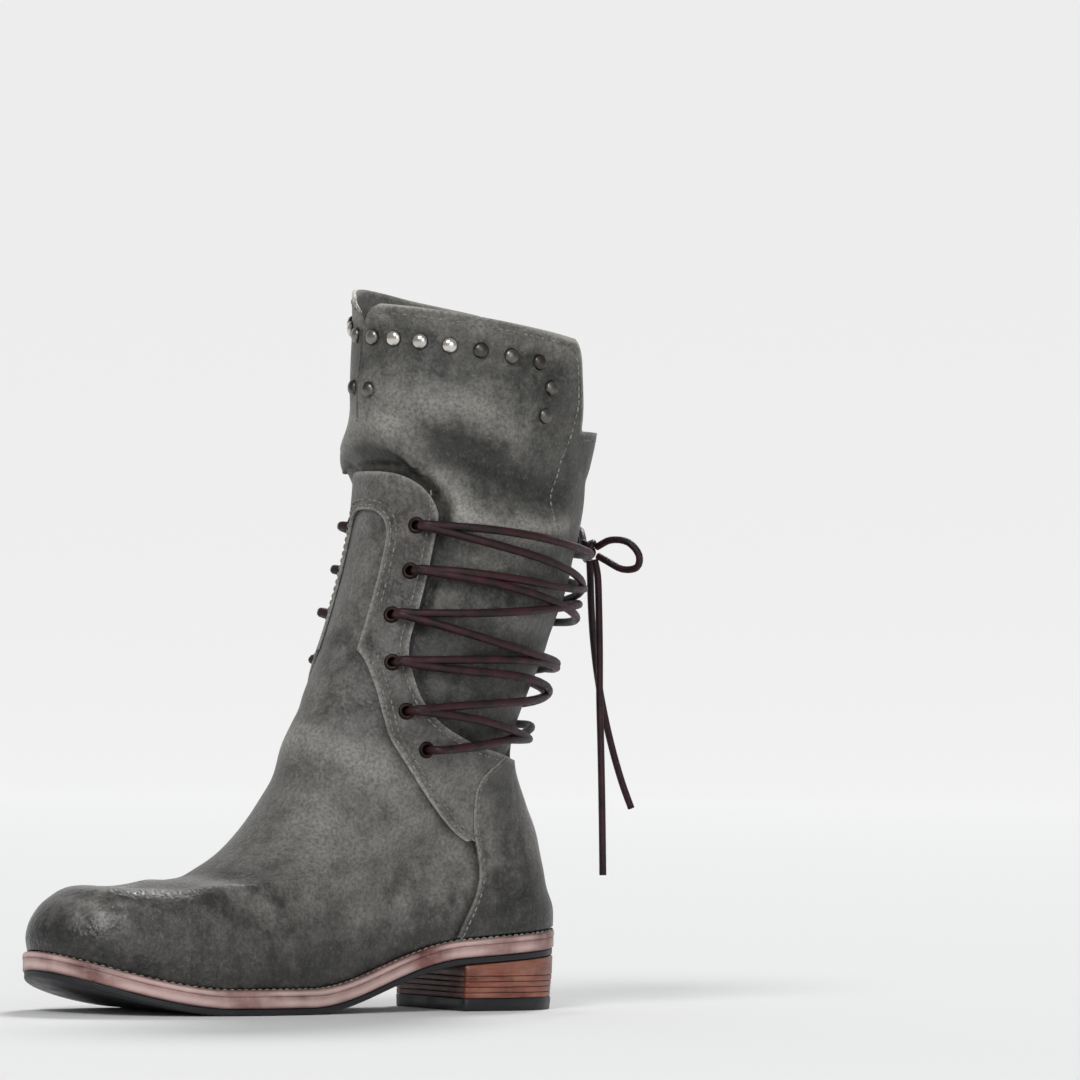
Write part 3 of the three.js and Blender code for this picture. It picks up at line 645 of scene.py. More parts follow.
class Nodes:
    """Short calls for building a material's nodes."""

    def __init__(self, name, roughness, metallic=0.0):
        self.material = bpy.data.materials.new(name)
        self.material.use_nodes = True
        self.tree = self.material.node_tree
        self.shader = self.tree.nodes["Principled BSDF"]
        self.shader.inputs["Roughness"].default_value = roughness
        self.shader.inputs["Metallic"].default_value = metallic
        self.place = self.tree.nodes.new("ShaderNodeTexCoord").outputs["Object"]

    def node(self, kind, links=None, **values):
        node = self.tree.nodes.new("ShaderNode" + kind)
        for key, value in values.items():
            if key in node.inputs:
                node.inputs[key].default_value = value
            else:
                setattr(node, key, value)
        for key, output in (links or {}).items():
            self.tree.links.new(output, node.inputs[key])
        return node

    def noise(self, scale, detail=3.0, rough=0.55, stretch=None, seed=0.0):
        vector = self.place
        if stretch or seed:
            mapping = self.node("Mapping", {"Vector": vector})
            mapping.inputs["Scale"].default_value = stretch or (1, 1, 1)
            mapping.inputs["Location"].default_value = (seed, seed, seed)
            vector = mapping.outputs[0]
        node = self.node(
            "TexNoise", {"Vector": vector}, Scale=scale, Detail=detail, Roughness=rough
        )
        return node.outputs[0]

    def cells(self, scale):
        links = {"Vector": self.place}
        return self.node("TexVoronoi", links, Scale=scale, feature="SMOOTH_F1").outputs[0]

    def layer(self, name):
        return self.node("Attribute", attribute_name=name).outputs["Fac"]

    def ramp(self, value, low, high, to_low=0.0, to_high=1.0):
        node = self.node("MapRange", {"Value": value})
        keys = ("From Min", "From Max", "To Min", "To Max")
        for key, number in zip(keys, (low, high, to_low, to_high)):
            node.inputs[key].default_value = number
        return node.outputs[0]

    def math(self, kind, a, b):
        node = self.node("Math", operation=kind)
        for socket, value in zip(node.inputs, (a, b)):
            if isinstance(value, (int, float)):
                socket.default_value = value
            else:
                self.tree.links.new(value, socket)
        return node.outputs[0]

    def plus(self, a, b, weight):
        """a with a weighted share of b added."""
        return self.math("ADD", a, self.math("MULTIPLY", b, weight))

    def tint(self, base, share, weight, tone):
        """A base blended towards a tone by a weighted share."""
        return self.blend(self.math("MULTIPLY", share, weight), base, tone)

    def blend(self, share, a, b):
        """Blends two colours, each a code or an output."""
        node = self.node("Mix", data_type="RGBA", blend_type="MIX")
        if isinstance(share, (int, float)):
            node.inputs[0].default_value = share
        else:
            self.tree.links.new(share, node.inputs[0])
        for socket, value in ((node.inputs[6], a), (node.inputs[7], b)):
            if isinstance(value, str):
                socket.default_value = colour(value)
            else:
                self.tree.links.new(value, socket)
        return node.outputs[2]

    def bump(self, height, strength, distance, below=None):
        links = {"Height": height}
        if below is not None:
            links["Normal"] = below
        node = self.node("Bump", links, Strength=strength, Distance=distance)
        return node.outputs[0]

    def finish(self, base=None, rough=None, normal=None):
        for key, output in (("Base Color", base), ("Roughness", rough), ("Normal", normal)):
            if output is not None:
                self.tree.links.new(output, self.shader.inputs[key])
        return self.material


DEEP_SHADE = "161616"
RAW_EDGE = "bdb6ac"


def distressed_leather(name, dark, middle, light, roughness, grain=0.5):
    """Scuffed leather: mottled, pale where scuffed and where highlights are painted, dark where
    shade is painted, with a pebbled grain.
    """
    m = Nodes(name, roughness)
    m.shader.inputs["Specular IOR Level"].default_value = 0.4
    broad = m.ramp(m.noise(24, 6, 0.66), 0.36, 0.64)
    patches = m.ramp(m.noise(95, 8, 0.72, seed=3.1), 0.42, 0.64)
    specks = m.ramp(m.noise(620, 4, 0.75, seed=7.7), 0.44, 0.6)
    flecks = m.ramp(m.noise(420, 5, 0.8, seed=1.9), 0.52, 0.66)
    strokes = m.ramp(m.noise(85, 6, 0.7, stretch=(1, 1, 0.3), seed=5.3), 0.46, 0.66)
    base = m.blend(broad, dark, middle)
    base = m.tint(base, patches, 0.22, light)
    base = m.tint(base, strokes, 0.16, light)
    # Paler by the pale layer: scuffing and painted highlights together
    paleness = m.ramp(m.plus(m.layer("wear_and_sheen"), patches, 0.24), 0.2, 1.25)
    base = m.tint(base, paleness, 0.9, light)
    shaded = m.plus(m.plus(m.layer("shade"), patches, -0.2), broad, -0.12)
    base = m.tint(base, m.ramp(shaded, 0.0, 1.0), 0.9, DEEP_SHADE)
    base = m.tint(base, specks, 0.5, dark)
    base = m.tint(base, flecks, 0.16, light)
    base = m.blend(m.ramp(m.layer("wear_and_sheen"), 1.25, 1.9, 0, 0.75), base, RAW_EDGE)
    matt = m.ramp(patches, 0, 1, roughness - 0.06, roughness + 0.14)
    rough = m.plus(matt, m.layer("gloss"), -0.15)
    pebbles = m.cells(560)
    fine = m.noise(1300, 3, 0.7)
    wrinkles = m.noise(170, 5, 0.65, stretch=(1, 1, 0.6))
    normal = m.bump(wrinkles, 0.45, 0.0012)
    normal = m.bump(pebbles, grain, 0.0006, normal)
    normal = m.bump(fine, 0.35, 0.0003, normal)
    return m.finish(base, rough, normal)


def sole_leather(name, dark, middle, light, layers):
    """A sanded leather edge with fine layer lines, scuffed pale in patches, with a painted
    highlight and painted shade.
    """
    m = Nodes(name, 0.5)
    lines = m.noise(900 if layers else 260, 3, 0.6, stretch=(0.08, 0.08, 1))
    patches = m.ramp(m.noise(70, 5, 0.6, seed=2.2), 0.4, 0.68)
    streaks = m.ramp(m.noise(180, 4, 0.65, stretch=(0.25, 0.25, 1), seed=4.4), 0.42, 0.66)
    base = m.blend(m.ramp(lines, 0.32, 0.68), dark, middle)
    base = m.tint(base, patches, 0.5, light)
    base = m.tint(base, streaks, 0.4, middle)
    base = m.tint(base, m.layer("wear_and_sheen"), 0.75, light)
    base = m.tint(base, m.layer("shade"), 0.85, "2a1714")
    rough = m.ramp(patches, 0, 1, 0.36, 0.58)
    normal = m.bump(lines, 0.3, 0.0003)
    normal = m.bump(m.noise(400, 3), 0.2, 0.0003, normal)
    return m.finish(base, rough, normal)


def rubber_material():
    m = Nodes("sole_rubber", 0.55)
    scuffs = m.ramp(m.noise(90, 5, 0.65), 0.45, 0.75)
    base = m.tint("101116", scuffs, 0.5, "2b2c33")
    normal = m.bump(m.noise(500, 4), 0.25, 0.0004)
    return m.finish(base, m.ramp(scuffs, 0, 1, 0.42, 0.7), normal)


def insole_material():
    m = Nodes("insole_leather", 0.75)
    base = m.blend(m.ramp(m.noise(40, 5), 0.35, 0.7), "5e4a38", "8b745c")
    return m.finish(base, None, m.bump(m.noise(900, 2), 0.3, 0.0003))


def lace_material():
    m = Nodes("lace_leather", 0.42)
    m.shader.inputs["Specular IOR Level"].default_value = 0.35
    base = m.blend(m.ramp(m.noise(120, 5, 0.6), 0.35, 0.7), "140a0d", "3c1821")
    fibres = m.noise(700, 4, 0.6, stretch=(0.3, 0.3, 1))
    normal = m.bump(fibres, 0.3, 0.0003, m.bump(m.noise(260, 3), 0.4, 0.0005))
    return m.finish(base, m.ramp(fibres, 0.3, 0.7, 0.42, 0.62), normal)


def metal_material(name, dark, light, roughness):
    m = Nodes(name, roughness, metallic=1.0)
    tarnish = m.ramp(m.noise(160, 4, 0.6), 0.4, 0.62)
    # Paler by the pale layer and the tarnish noise: the eyelets' rim tops, and the studs'
    # painted reflections
    wear_and_glint = m.math("MAXIMUM", m.layer("wear_and_sheen"), m.math("MULTIPLY", tarnish, 0.25))
    base = m.blend(wear_and_glint, dark, light)
    rough = m.ramp(wear_and_glint, 0, 1, roughness + 0.16, roughness)
    return m.finish(base, rough, m.bump(m.noise(900, 3), 0.15, 0.0002))


def thread_material():
    m = Nodes("stitch_thread", 0.7)
    base = m.blend(m.ramp(m.noise(300, 3), 0.35, 0.65), "55534d", "96928a")
    return m.finish(base, None, m.bump(m.noise(1800, 2), 0.4, 0.0002))


vamp_leather = distressed_leather("vamp_leather", "2a2927", "484643", "989590", 0.46)
shaft_leather = distressed_leather("shaft_leather", "282826", "454440", "989690", 0.5, 0.45)
welt_leather = sole_leather("welt_leather", "4a221f", "8a5a54", "dcc0ba", False)
heel_leather = sole_leather("heel_leather", "451a12", "86432f", "bd8570", True)
rubber = rubber_material()
insole_leather = insole_material()
lace_leather = lace_material()
stud_metal = metal_material("stud_metal", "1b1411", "d9d4cd", 0.22)
eyelet_metal = metal_material("eyelet_metal", "171212", "3a2e2b", 0.42)
thread = thread_material()


# Camera, at the photograph's angle: outer side of the left boot, toe to the left
IMAGE = 1080
CAMERA_AZIMUTH = math.radians(-31.9)
CAMERA_ELEVATION = math.radians(0.12)
CAMERA_ROLL = math.radians(0.88)
CAMERA_DISTANCE = 4.0
PIXELS_PER_METRE = 2105
AIM = Vector((-0.090, 0.0, 0.165))
AIM_PIXEL = (329.7, 662.3)


def place_camera():
    back = Vector((
        math.sin(CAMERA_AZIMUTH) * math.cos(CAMERA_ELEVATION),
        -math.cos(CAMERA_AZIMUTH) * math.cos(CAMERA_ELEVATION),
        math.sin(CAMERA_ELEVATION),
    ))
    right = Vector((math.cos(CAMERA_AZIMUTH), math.sin(CAMERA_AZIMUTH), 0))
    up = back.cross(right)
    roll = Matrix.Rotation(CAMERA_ROLL, 3, back)
    right = roll @ right
    up = roll @ up
    centre = AIM + right * (IMAGE / 2 - AIM_PIXEL[0]) / PIXELS_PER_METRE
    centre += up * (AIM_PIXEL[1] - IMAGE / 2) / PIXELS_PER_METRE
    spot = AIM + back * CAMERA_DISTANCE
    out = (spot - centre).normalized()
    across = up.cross(out).normalized()
    data = bpy.data.cameras.new("camera")
    data.sensor_width = 36
    data.lens = PIXELS_PER_METRE * CAMERA_DISTANCE / IMAGE * data.sensor_width
    data.clip_end = 100
    camera = bpy.data.objects.new("camera", data)
    bpy.context.scene.collection.objects.link(camera)
    axes = Matrix((across, out.cross(across), out)).transposed()
    camera.matrix_world = Matrix.Translation(spot) @ axes.to_4x4()
    bpy.context.scene.camera = camera


place_camera()


# Free cords: the bow's loops and the lace's ends, as offsets from the knot's centre
CORD_ROUTES = {
    "lace_loop_lateral": [
        (1.5, -5.4, 0.6), (4, -14, 4), (8, -23, 3), (11, -28, -3), (12, -25, -9), (9, -17, -10),
        (5, -9, -6), (2.8, -4.6, -3.6),
    ],
    "lace_loop_medial": [
        (1.5, 5.4, 0.6), (5, 13, 7), (9, 21, 9), (13, 27, 6), (14, 26, -1), (11, 18, -5),
        (6, 10, -5), (2.8, 4.6, -3.6),
    ],
    "lace_end_lateral": [
        (2.6, -2.2, -5.6), (3.4, -4, -14), (3, -6, -30), (2.4, -8, -50), (2.2, -9, -72),
        (2.6, -10, -94), (3.2, -10.5, -116), (4, -10.5, -138), (5, -10, -158),
    ],
    "lace_end_medial": [
        (2.6, 2.2, -5.6), (4.4, 4, -14), (6.5, 6, -28), (9, 7.5, -44), (12.5, 8.5, -62),
        (17, 9, -80), (22, 9, -97), (27.5, 8.5, -113), (33, 8, -126),
    ],
}
knot_seat, _ = at_height(boot_form, math.pi, KNOT_HEIGHT, LAST_ROW)
knot_away = LACE_STAND_OFF + LACE_RADIUS + KNOT_RADIUS - KNOT_SINK
knot_centre = knot_seat + [knot_away, 0, 0]


def add_cord(name, offsets):
    path = curve_through(offsets, 4) + knot_centre
    data = bpy.data.curves.new(name, "CURVE")
    data.dimensions = "3D"
    data.bevel_depth = LACE_RADIUS * MM
    data.bevel_resolution = 3
    data.use_fill_caps = True
    spline = data.splines.new("POLY")
    spline.points.add(len(path) - 1)
    for point, place in zip(spline.points, path * MM):
        point.co = (*place, 1)
    obj = bpy.data.objects.new(name + "_cord", data)
    bpy.context.scene.collection.objects.link(obj)
    finish_object(obj, [name], lace_leather)


for cord_name, cord_offsets in CORD_ROUTES.items():
    add_cord(cord_name, cord_offsets)


# Sole and heel

def sole_ring(inset, level, steps=200):
    turn = np.linspace(0, 2 * math.pi, steps, endpoint=False)
    share = share_at(turn)
    x, y = plan_point(turn, inset(share))
    return np.stack([x, y, sole_height(x) + level], -1)


def rounding(s):
    """How far an edge rounded by a quarter circle draws in, as a share of its radius."""
    return 1 - math.sqrt(1 - s ** 2)


def sole_piece(name, inset, bottom, thickness, rounds, material, shades=(0, 0)):
    """A sole layer that follows the sole's profile, its lower and upper edges rounded."""
    rings = []
    wear_and_sheen = []
    shade = []
    for s in np.linspace(0, 1, 11):
        low = max(0.0, 1 - s * thickness / rounds[0])
        high = max(0.0, 1 - (1 - s) * thickness / rounds[1])
        extra = rounds[0] * rounding(low) + rounds[1] * rounding(high)
        level = bottom + thickness * s
        rings.append(sole_ring(lambda share, extra=extra: inset(share) + extra, level))
        # Paler along the middle of the edge, scuffing and a painted highlight on the rounded
        # face together; the shades paint shade towards the lower and upper edges
        wear_and_sheen.append(0.25 + 0.75 * band(s, 0.45, 0.3))
        shade.append(shades[0] * low + shades[1] * max(0.0, 1 - (1 - s) / 0.45))
    count = len(rings[0])
    paleness = smooth(0.45 + 1.3 * lumps_at(np.concatenate(rings), 22, 4.0))
    layers = {"wear_and_sheen": np.repeat(wear_and_sheen, count) * paleness, "shade": np.repeat(shade, count)}
    finish_object(stack_object(name, rings, layers), [name.split("_")[0]], material)


sole_piece("outsole_tread", lambda share: 0.9, 0, OUTSOLE_THICKNESS, (0.9, 0.3), rubber)
# The midsole's edge laps the gaps on both sides, so that it reads as one band with the welt
sole_piece("midsole_edge", lambda share: 0.2, MIDSOLE_LEVEL - 0.15, MIDSOLE_THICKNESS + 0.4,
           (0.9, 0.15), welt_leather, (0.7, 0))
sole_piece("welt_edge", lambda share: 0.0, WELT_LEVEL, WELT_THICKNESS,
           (0.15, 1.7), welt_leather, (0, 0.8))
sole_piece("insole_sheet", lambda share: ledge_at(share) + UPPER_WALL + INSOLE_GAP, INSOLE_LEVEL,
           INSOLE_THICKNESS, (0.8, 0.8), insole_leather)

BREAST_X = HEEL_REAR_X - HEEL_LENGTH
HEEL_SIDE_STEPS = 90
HEEL_EDGE = 0.45


def heel_ring(height, extra, seat=None):
    """A D-shaped ring: the sole's rear outline and the hollow breast."""
    inset = mix(HEEL_TAPER, SEAT_INSET, height / BREAST_HEIGHT) + extra
    turn_start = math.acos(1 - 2 * (1 - HEEL_LENGTH / SOLE_LENGTH))
    turn = np.linspace(turn_start + 0.01, 2 * math.pi - turn_start - 0.01, HEEL_SIDE_STEPS)
    x, y = plan_point(turn, inset)
    hollow_y = np.linspace(y[-1], y[0], 22)[1:-1]
    hollow_x = BREAST_X + BREAST_HOLLOW / 2 * (1 - (hollow_y / (BALL_WIDTH / 2)) ** 2) + extra
    x = np.concatenate([np.maximum(x, BREAST_X + extra), hollow_x])
    y = np.concatenate([y, hollow_y])
    z = np.full(x.shape, height)
    if seat is not None:
        z = np.maximum(sole_height(x) - seat, height - 2)
    return np.stack([x, y, z], -1)


def heel_slice(name, bottom, top, nodes, material, tone, to_seat=False):
    """One layer of the heel with rounded edges; the last one follows the sole above it."""
    jitter = 0.18 * math.sin(7.3 * tone + 1)
    drawn = ((0, 1), (0.4, 0.3), (1, 0))
    rings = [heel_ring(bottom + HEEL_EDGE * up, jitter + HEEL_EDGE * back) for up, back in drawn]
    if to_seat:
        rings.append(heel_ring(top, jitter, GAP + HEEL_EDGE))
        rings.append(heel_ring(top, jitter + HEEL_EDGE, GAP))
    else:
        rings += [
            heel_ring(top - HEEL_EDGE * up, jitter + HEEL_EDGE * back)
            for up, back in reversed(drawn)
        ]
    count = len(rings[0])
    points = np.concatenate(rings)
    walls = len(rings) - 4
    paleness = smooth(0.6 + 0.9 * lumps_at(points, 16, tone))
    wear_and_sheen = np.repeat([1.0, 0.6] + [0.12] * walls + [0.6, 1.0], count) * paleness * 0.7
    shade = np.repeat([0.9, 0.2] + [0] * walls + [0.2, 0.9], count).reshape(-1, count)
    shade[:, HEEL_SIDE_STEPS:] = 0.9
    faces = ring_faces(len(rings), count) + end_faces(len(rings), count)
    obj = mesh_object(name, points, faces, {"wear_and_sheen": wear_and_sheen, "shade": shade.ravel()})
    finish_object(obj, nodes, material)


heel_slice("heel_rubber", 0, TOP_LIFT_THICKNESS, ["heel_top_lift"], rubber, 0.5)
LAYER_THICKNESS = 2.55
LAYER_GAP = 0.1
LAYER_NODES = [["heel_lift_1"], [], ["heel_lift_2"], [], ["heel_seat_lift"]]
for layer, layer_nodes in enumerate(LAYER_NODES):
    low = TOP_LIFT_THICKNESS + 0.12 + layer * (LAYER_THICKNESS + LAYER_GAP)
    heel_slice(f"heel_layer_{layer + 1}", low, low + LAYER_THICKNESS, layer_nodes,
               heel_leather, layer * 1.7, layer == len(LAYER_NODES) - 1)


# Upper, facing, counter and shaft

def above_sole(p):
    return np.clip(p[..., 2] - sole_height(p[..., 0]) - FEATHER_LEVEL, 0, None)


def upper_relief(base):
    relief = marks_at(base, UPPER_MARKS)
    relief = relief + 0.55 * lumps_at(base, 42, 1.0) + 0.22 * lumps_at(base, 17, 9.0)
    return relief * smooth(above_sole(base) / 12)


def toe_mask(p):
    return smooth((-188 - p[..., 0]) / 36)


# Pale patches on the upper, painted highlight and scuffing together: the vamp, the quarter and
# the heel
UPPER_SHEEN_AND_WEAR = [(0.7, -100, 56, 88, 44), (0.5, -45, 26, 92, 32), (1.1, 20, 14, 96, 26)]


def upper_surface(base, normal, lift=0.0, edge_of=None):
    """Points, scuffing with painted highlights, painted shade and gloss of the upper, or of an
    overlay with its edge's distance.
    """
    relief = upper_relief(base)
    points = base + normal * (relief + lift)[..., None]
    x, y, z = base[..., 0], base[..., 1], base[..., 2]
    front = 0.4 * band(y, 0, 22) * smooth((z - 90) / 40)
    # Paler on the folds' ridges and in the pale patches: painted highlight and scuffing together
    wear_and_sheen = 0.5 * np.clip(relief, 0, 1.2) + spots_at(base, UPPER_SHEEN_AND_WEAR) + front
    low = np.exp(-(above_sole(base) / 15) ** 1.5)
    rear = 0.45 * smooth((x + 20) / 30) * smooth((92 - z) / 40)
    ankle = 0.35 * smooth((x + 40) / 30) * smooth((z - 120) / 40)
    shade = 0.72 * low + 0.5 * toe_mask(base) + rear + ankle + 0.4 * np.clip(-relief, 0, 1.2)
    if edge_of is not None:
        away = np.clip(edge_of(base), 0, None)
        wear_and_sheen = wear_and_sheen + 0.9 * band(away, 0, 1.2)
        shade = shade + 0.3 * band(away, 4, 3)
    else:
        for line in (facing_line, counter_line):
            shade = shade + 0.7 * band(near_line(x, z, line), 0, 3)
    # A painted highlight on the toe's upper side, broken into patches: painted paler and less
    # shaded
    toe_highlight_spot = band(x, -224, 15) * band(y, -22, 17) * band(z, 49, 9)
    toe_highlight_patches = toe_highlight_spot * smooth(0.5 + 1.6 * lumps_at(base, 9, 6.0))
    wear_and_sheen = wear_and_sheen + 0.75 * toe_highlight_patches
    shade = shade - 0.55 * toe_highlight_patches
    gloss = toe_mask(base) + 0.6 * low
    return points, np.clip(wear_and_sheen, 0, 2), np.clip(shade, 0, 1), np.clip(gloss, 0, 1)


def overlay_surface(edge_of):
    def surface(base, normal):
        return upper_surface(base, normal, GAP + OVERLAY_WALL, edge_of)
    return surface


def overlay_points(base, normal):
    return base + normal * (upper_relief(base) + GAP + OVERLAY_WALL)[..., None]


def eyelet_places():
    places = []
    for degrees, height, _ in EYELET_ROWS:
        for side in ("lateral", "medial"):
            turn = math.radians(degrees if side == "lateral" else 360 - degrees)
            point, normal = at_height(boot_form, turn, height * TAB_HEIGHT, LAST_ROW)
            relief = float(upper_relief(point[None])[0])
            places.append((side, turn, height * TAB_HEIGHT, point, normal, relief))
    return places


eyelets = eyelet_places()


def off_eyelets(p):
    """Positive outside the eyelets' holes."""
    nearest = np.full(p.shape[:-1], float(FAR))
    for _, _, _, point, _, _ in eyelets:
        nearest = np.minimum(nearest, np.linalg.norm(p - point, axis=-1))
    return nearest - EYELET_HOLE


def facing_field(p):
    return inside(p[..., 0], p[..., 2], facing_region)


def counter_field(p):
    return inside(p[..., 0], p[..., 2], counter_region)


def vamp_tab_field(p):
    """Positive outside the vamp's own tab in the middle of the front."""
    arched = inside(p[..., 1], p[..., 2], vamp_tab_arch)
    return np.where(p[..., 0] < VAMP_TAB_REAR_X, -arched, FAR)


def facing_edges(p):
    side_edges = np.minimum(facing_field(p), -in_opening(p))
    return np.minimum(side_edges, np.minimum(in_tab(p), vamp_tab_field(p)))


def counter_edges(p):
    return np.minimum(counter_field(p), -in_opening(p))


def off_opening(p):
    return -in_opening(p)


def off_counter(p):
    return -counter_field(p) - 0.5


sheets = [
    ("upper_vamp", "upper", 0, LAST_ROW, 150, 300, upper_surface,
     [off_opening, in_tab, off_eyelets], UPPER_WALL, 0.5),
    ("eyelet_facing", "facing", 5.5, LAST_ROW, 120, 300, overlay_surface(facing_edges),
     [facing_field, off_opening, in_tab, vamp_tab_field, off_counter, off_eyelets],
     OVERLAY_WALL, 0.45),
    ("heel_counter", "counter", 0.1, 12, 90, 260, overlay_surface(counter_edges),
     [counter_field, off_opening], OVERLAY_WALL, 0.5),
]
for name, node, first, last, rows, turns, surface, fields, wall, edge in sheets:
    sheet = leather_sheet(name, boot_form, LAST_ROW, np.linspace(first, last, rows), turns,
                          surface, fields, wall, edge)
    finish_object(sheet, [node], vamp_leather)


def off_flap(p, sign):
    """Positive on the collar, negative in the notch behind one side's flap."""
    flap_top = float(collar_top(FLAP_CORNER_TURN * sign))
    corner_x = bend(FLAP_REAR_X, FLAP_REAR_X, FLAP_REAR_X - FLAP_CORNER)
    corner_z = bend(flap_top - FLAP_CORNER, flap_top, flap_top)
    return -inside(p[..., 0], p[..., 2], [
        (FLAP_REAR_X, BACK_STRIP_HEIGHT),
        *zip(corner_x, corner_z),
        (FLAP_REAR_X - FLAP_CORNER, 2 * FAR),
        (FAR, 2 * FAR),
        (FAR, BACK_STRIP_HEIGHT),
    ])


def off_notch(p):
    return np.where(p[..., 1] < 0, off_flap(p, 1), off_flap(p, -1))


def slit_half_at(z):
    """Half width of the front slit: closed at its foot, wide at the flaps' corners."""
    open_up = smooth((z - BACK_STRIP_HEIGHT) / (2 * SLIT_HALF))
    corner = np.clip((z - BOOT_HEIGHT + FLAP_CORNER) / FLAP_CORNER, 0, 1)
    return SLIT_HALF * open_up + FLAP_CORNER * (1 - np.sqrt(1 - corner ** 2))


def off_slit(p):
    reach = np.abs(p[..., 1]) - slit_half_at(p[..., 2])
    return np.where((p[..., 0] < COLLAR_CENTRE_X) & (p[..., 2] > BACK_STRIP_HEIGHT), reach, FAR)


# The lip where the cuff sags over the front panel, as x and z in the side view
LIP_LINE = [(-76, 272), (-71, 267), (-63, 260), (-57, 247), (-52, 236), (-46, 226), (-38, 216)]
lip_region = [(-FAR, LIP_LINE[0][1]), *curve_through(LIP_LINE), (FAR, LIP_LINE[-1][1]),
              (FAR, 2 * FAR), (-FAR, 2 * FAR)]
# Pale patches on the shaft, painted highlight and scuffing together: the bulge in front and the
# lower cuff behind the panel
SHAFT_SHEEN_AND_WEAR = [(0.4, -72, 9, 282, 13), (0.5, -20, 22, 214, 16)]


def shaft_surface(base, normal):
    """Points, scuffing with painted highlights, painted shade and gloss of the shaft, with its
    sag over the front panel.
    """
    x, y, z = base[..., 0], base[..., 1], base[..., 2]
    out = outside_panel(base)
    lip = inside(x, z, lip_region)
    clear = smooth((out - 1) / 6)
    strength = smooth((z - 216) / 22) * smooth((30 - x) / 40) * clear
    sag = (6.0 - 3.4 * smooth((-60 - x) / 12)) * smooth((lip + 1.2) / 3.2) * strength
    sag = sag * np.exp(-np.clip(lip, 0, None) / 15)
    offset = mix(-UPPER_WALL - GAP - 0.2, -0.6, clear) + sag
    lumps = 0.8 * lumps_at(base, 38, 5.0) + 0.35 * lumps_at(base, 15, 2.0)
    relief = (marks_at(base, SHAFT_MARKS) + lumps) * clear
    about = np.arctan2(y, -(x - COLLAR_CENTRE_X))
    # The medial flap's front is tucked in behind the lateral one
    tuck = 3.2 * band(about, 0.25, 0.42) * smooth((z - 268) / 26) * smooth(about / 0.05)
    points = base + normal * (offset + relief - tuck)[..., None]
    below_top = collar_top(-about) - z
    # Paler on the folds' ridges as a painted highlight, and in the pale patches
    wear_and_sheen = 0.32 * np.clip(relief, 0, 2.5) + spots_at(base, SHAFT_SHEEN_AND_WEAR)
    wear_and_sheen = wear_and_sheen + 1.9 * from_edge(below_top, 1.5) + 1.5 * from_edge(off_notch(base), 1.4)
    # Paler near the top edge, and a painted highlight along the sag's ridge above the lip
    wear_and_sheen = wear_and_sheen + 0.5 * band(below_top, 5, 8) + 0.55 * band(lip, 8, 6) * strength
    wear_and_sheen = wear_and_sheen + 0.45 * band(below_top, 46, 16) * band(x, -45, 26)
    shade = 0.9 * from_edge(out, 6) + 0.42 * np.clip(-relief, 0, 2.5)
    shade = shade + band(lip, -2.2, 2.6) * strength + 0.4 * smooth((200 - z) / 30)
    shade = shade + 0.3 * smooth(x / 30) * smooth((z - 225) / 20)
    return points, np.clip(wear_and_sheen, 0, 2), np.clip(shade, 0, 1), 0.3 * strength


def shaft_points(base, normal):
    return shaft_surface(base, normal)[0]


shaft = leather_sheet(
    "shaft_cuff", shaft_form, SHAFT_TOP, np.linspace(9.2, SHAFT_TOP, 150), 300, shaft_surface,
    [off_notch, off_slit], SHAFT_WALL, 0.5,
)
finish_object(shaft, ["shaft"], shaft_leather)


# Eyelets and studs

EYELET_SEAT = GAP + OVERLAY_WALL
EYELET_PROFILE = [
    (EYELET_HOLE - 0.5, -1.2),
    (EYELET_HOLE - 0.05, -1.2),
    (EYELET_HOLE, EYELET_SEAT - 0.1),
    (EYELET_FLANGE - 0.2, EYELET_SEAT + 0.02),
    (EYELET_FLANGE, EYELET_SEAT + 0.25),
    (EYELET_FLANGE - 0.35, EYELET_SEAT + 0.7),
    (EYELET_FLANGE - 0.95, EYELET_SEAT + 0.95),
    (EYELET_HOLE + 0.1, EYELET_SEAT + 0.8),
    (EYELET_HOLE - 0.45, EYELET_SEAT + 0.3),
    (EYELET_HOLE - 0.5, -1.2),
]
for number, (side, _, _, point, normal, relief) in enumerate(eyelets):
    name = f"eyelet_{side}_{number // 2 + 1}"
    points, faces = lathe_mesh(EYELET_PROFILE)
    rim = 0.8 * smooth((points[:, 2] - EYELET_SEAT - 0.4) / 0.5)
    points = oriented(points, point + normal * relief, normal)
    obj = mesh_object(name + "_ring", points, faces, {"wear_and_sheen": rim})
    finish_object(obj, [name], eyelet_metal)

STUD_PROFILE = [(STUD_RADIUS, 0.1), (STUD_RADIUS + 0.1, 0.45)]
STUD_PROFILE += [
    (STUD_RADIUS * math.cos(a), 0.5 + (STUD_HEIGHT - 0.4) * math.sin(a))
    for a in np.linspace(0.05, math.pi / 2 - 0.06, 8)
]
STUD_FRONT_TURN = math.radians(11)
STUD_REAR_TURN = math.radians(95)
STUD_STEP_TURN = math.radians(3)
STUD_CORNER_DROP = 11
STUD_EDGE_DROP = 25
stud_places = [(turn, 0) for turn in np.linspace(STUD_FRONT_TURN, STUD_REAR_TURN, 7)]
stud_places += [
    (STUD_REAR_TURN + 2 * STUD_STEP_TURN, STUD_CORNER_DROP),
    (STUD_REAR_TURN + STUD_STEP_TURN, STUD_EDGE_DROP),
    (STUD_FRONT_TURN, STUD_EDGE_DROP),
]
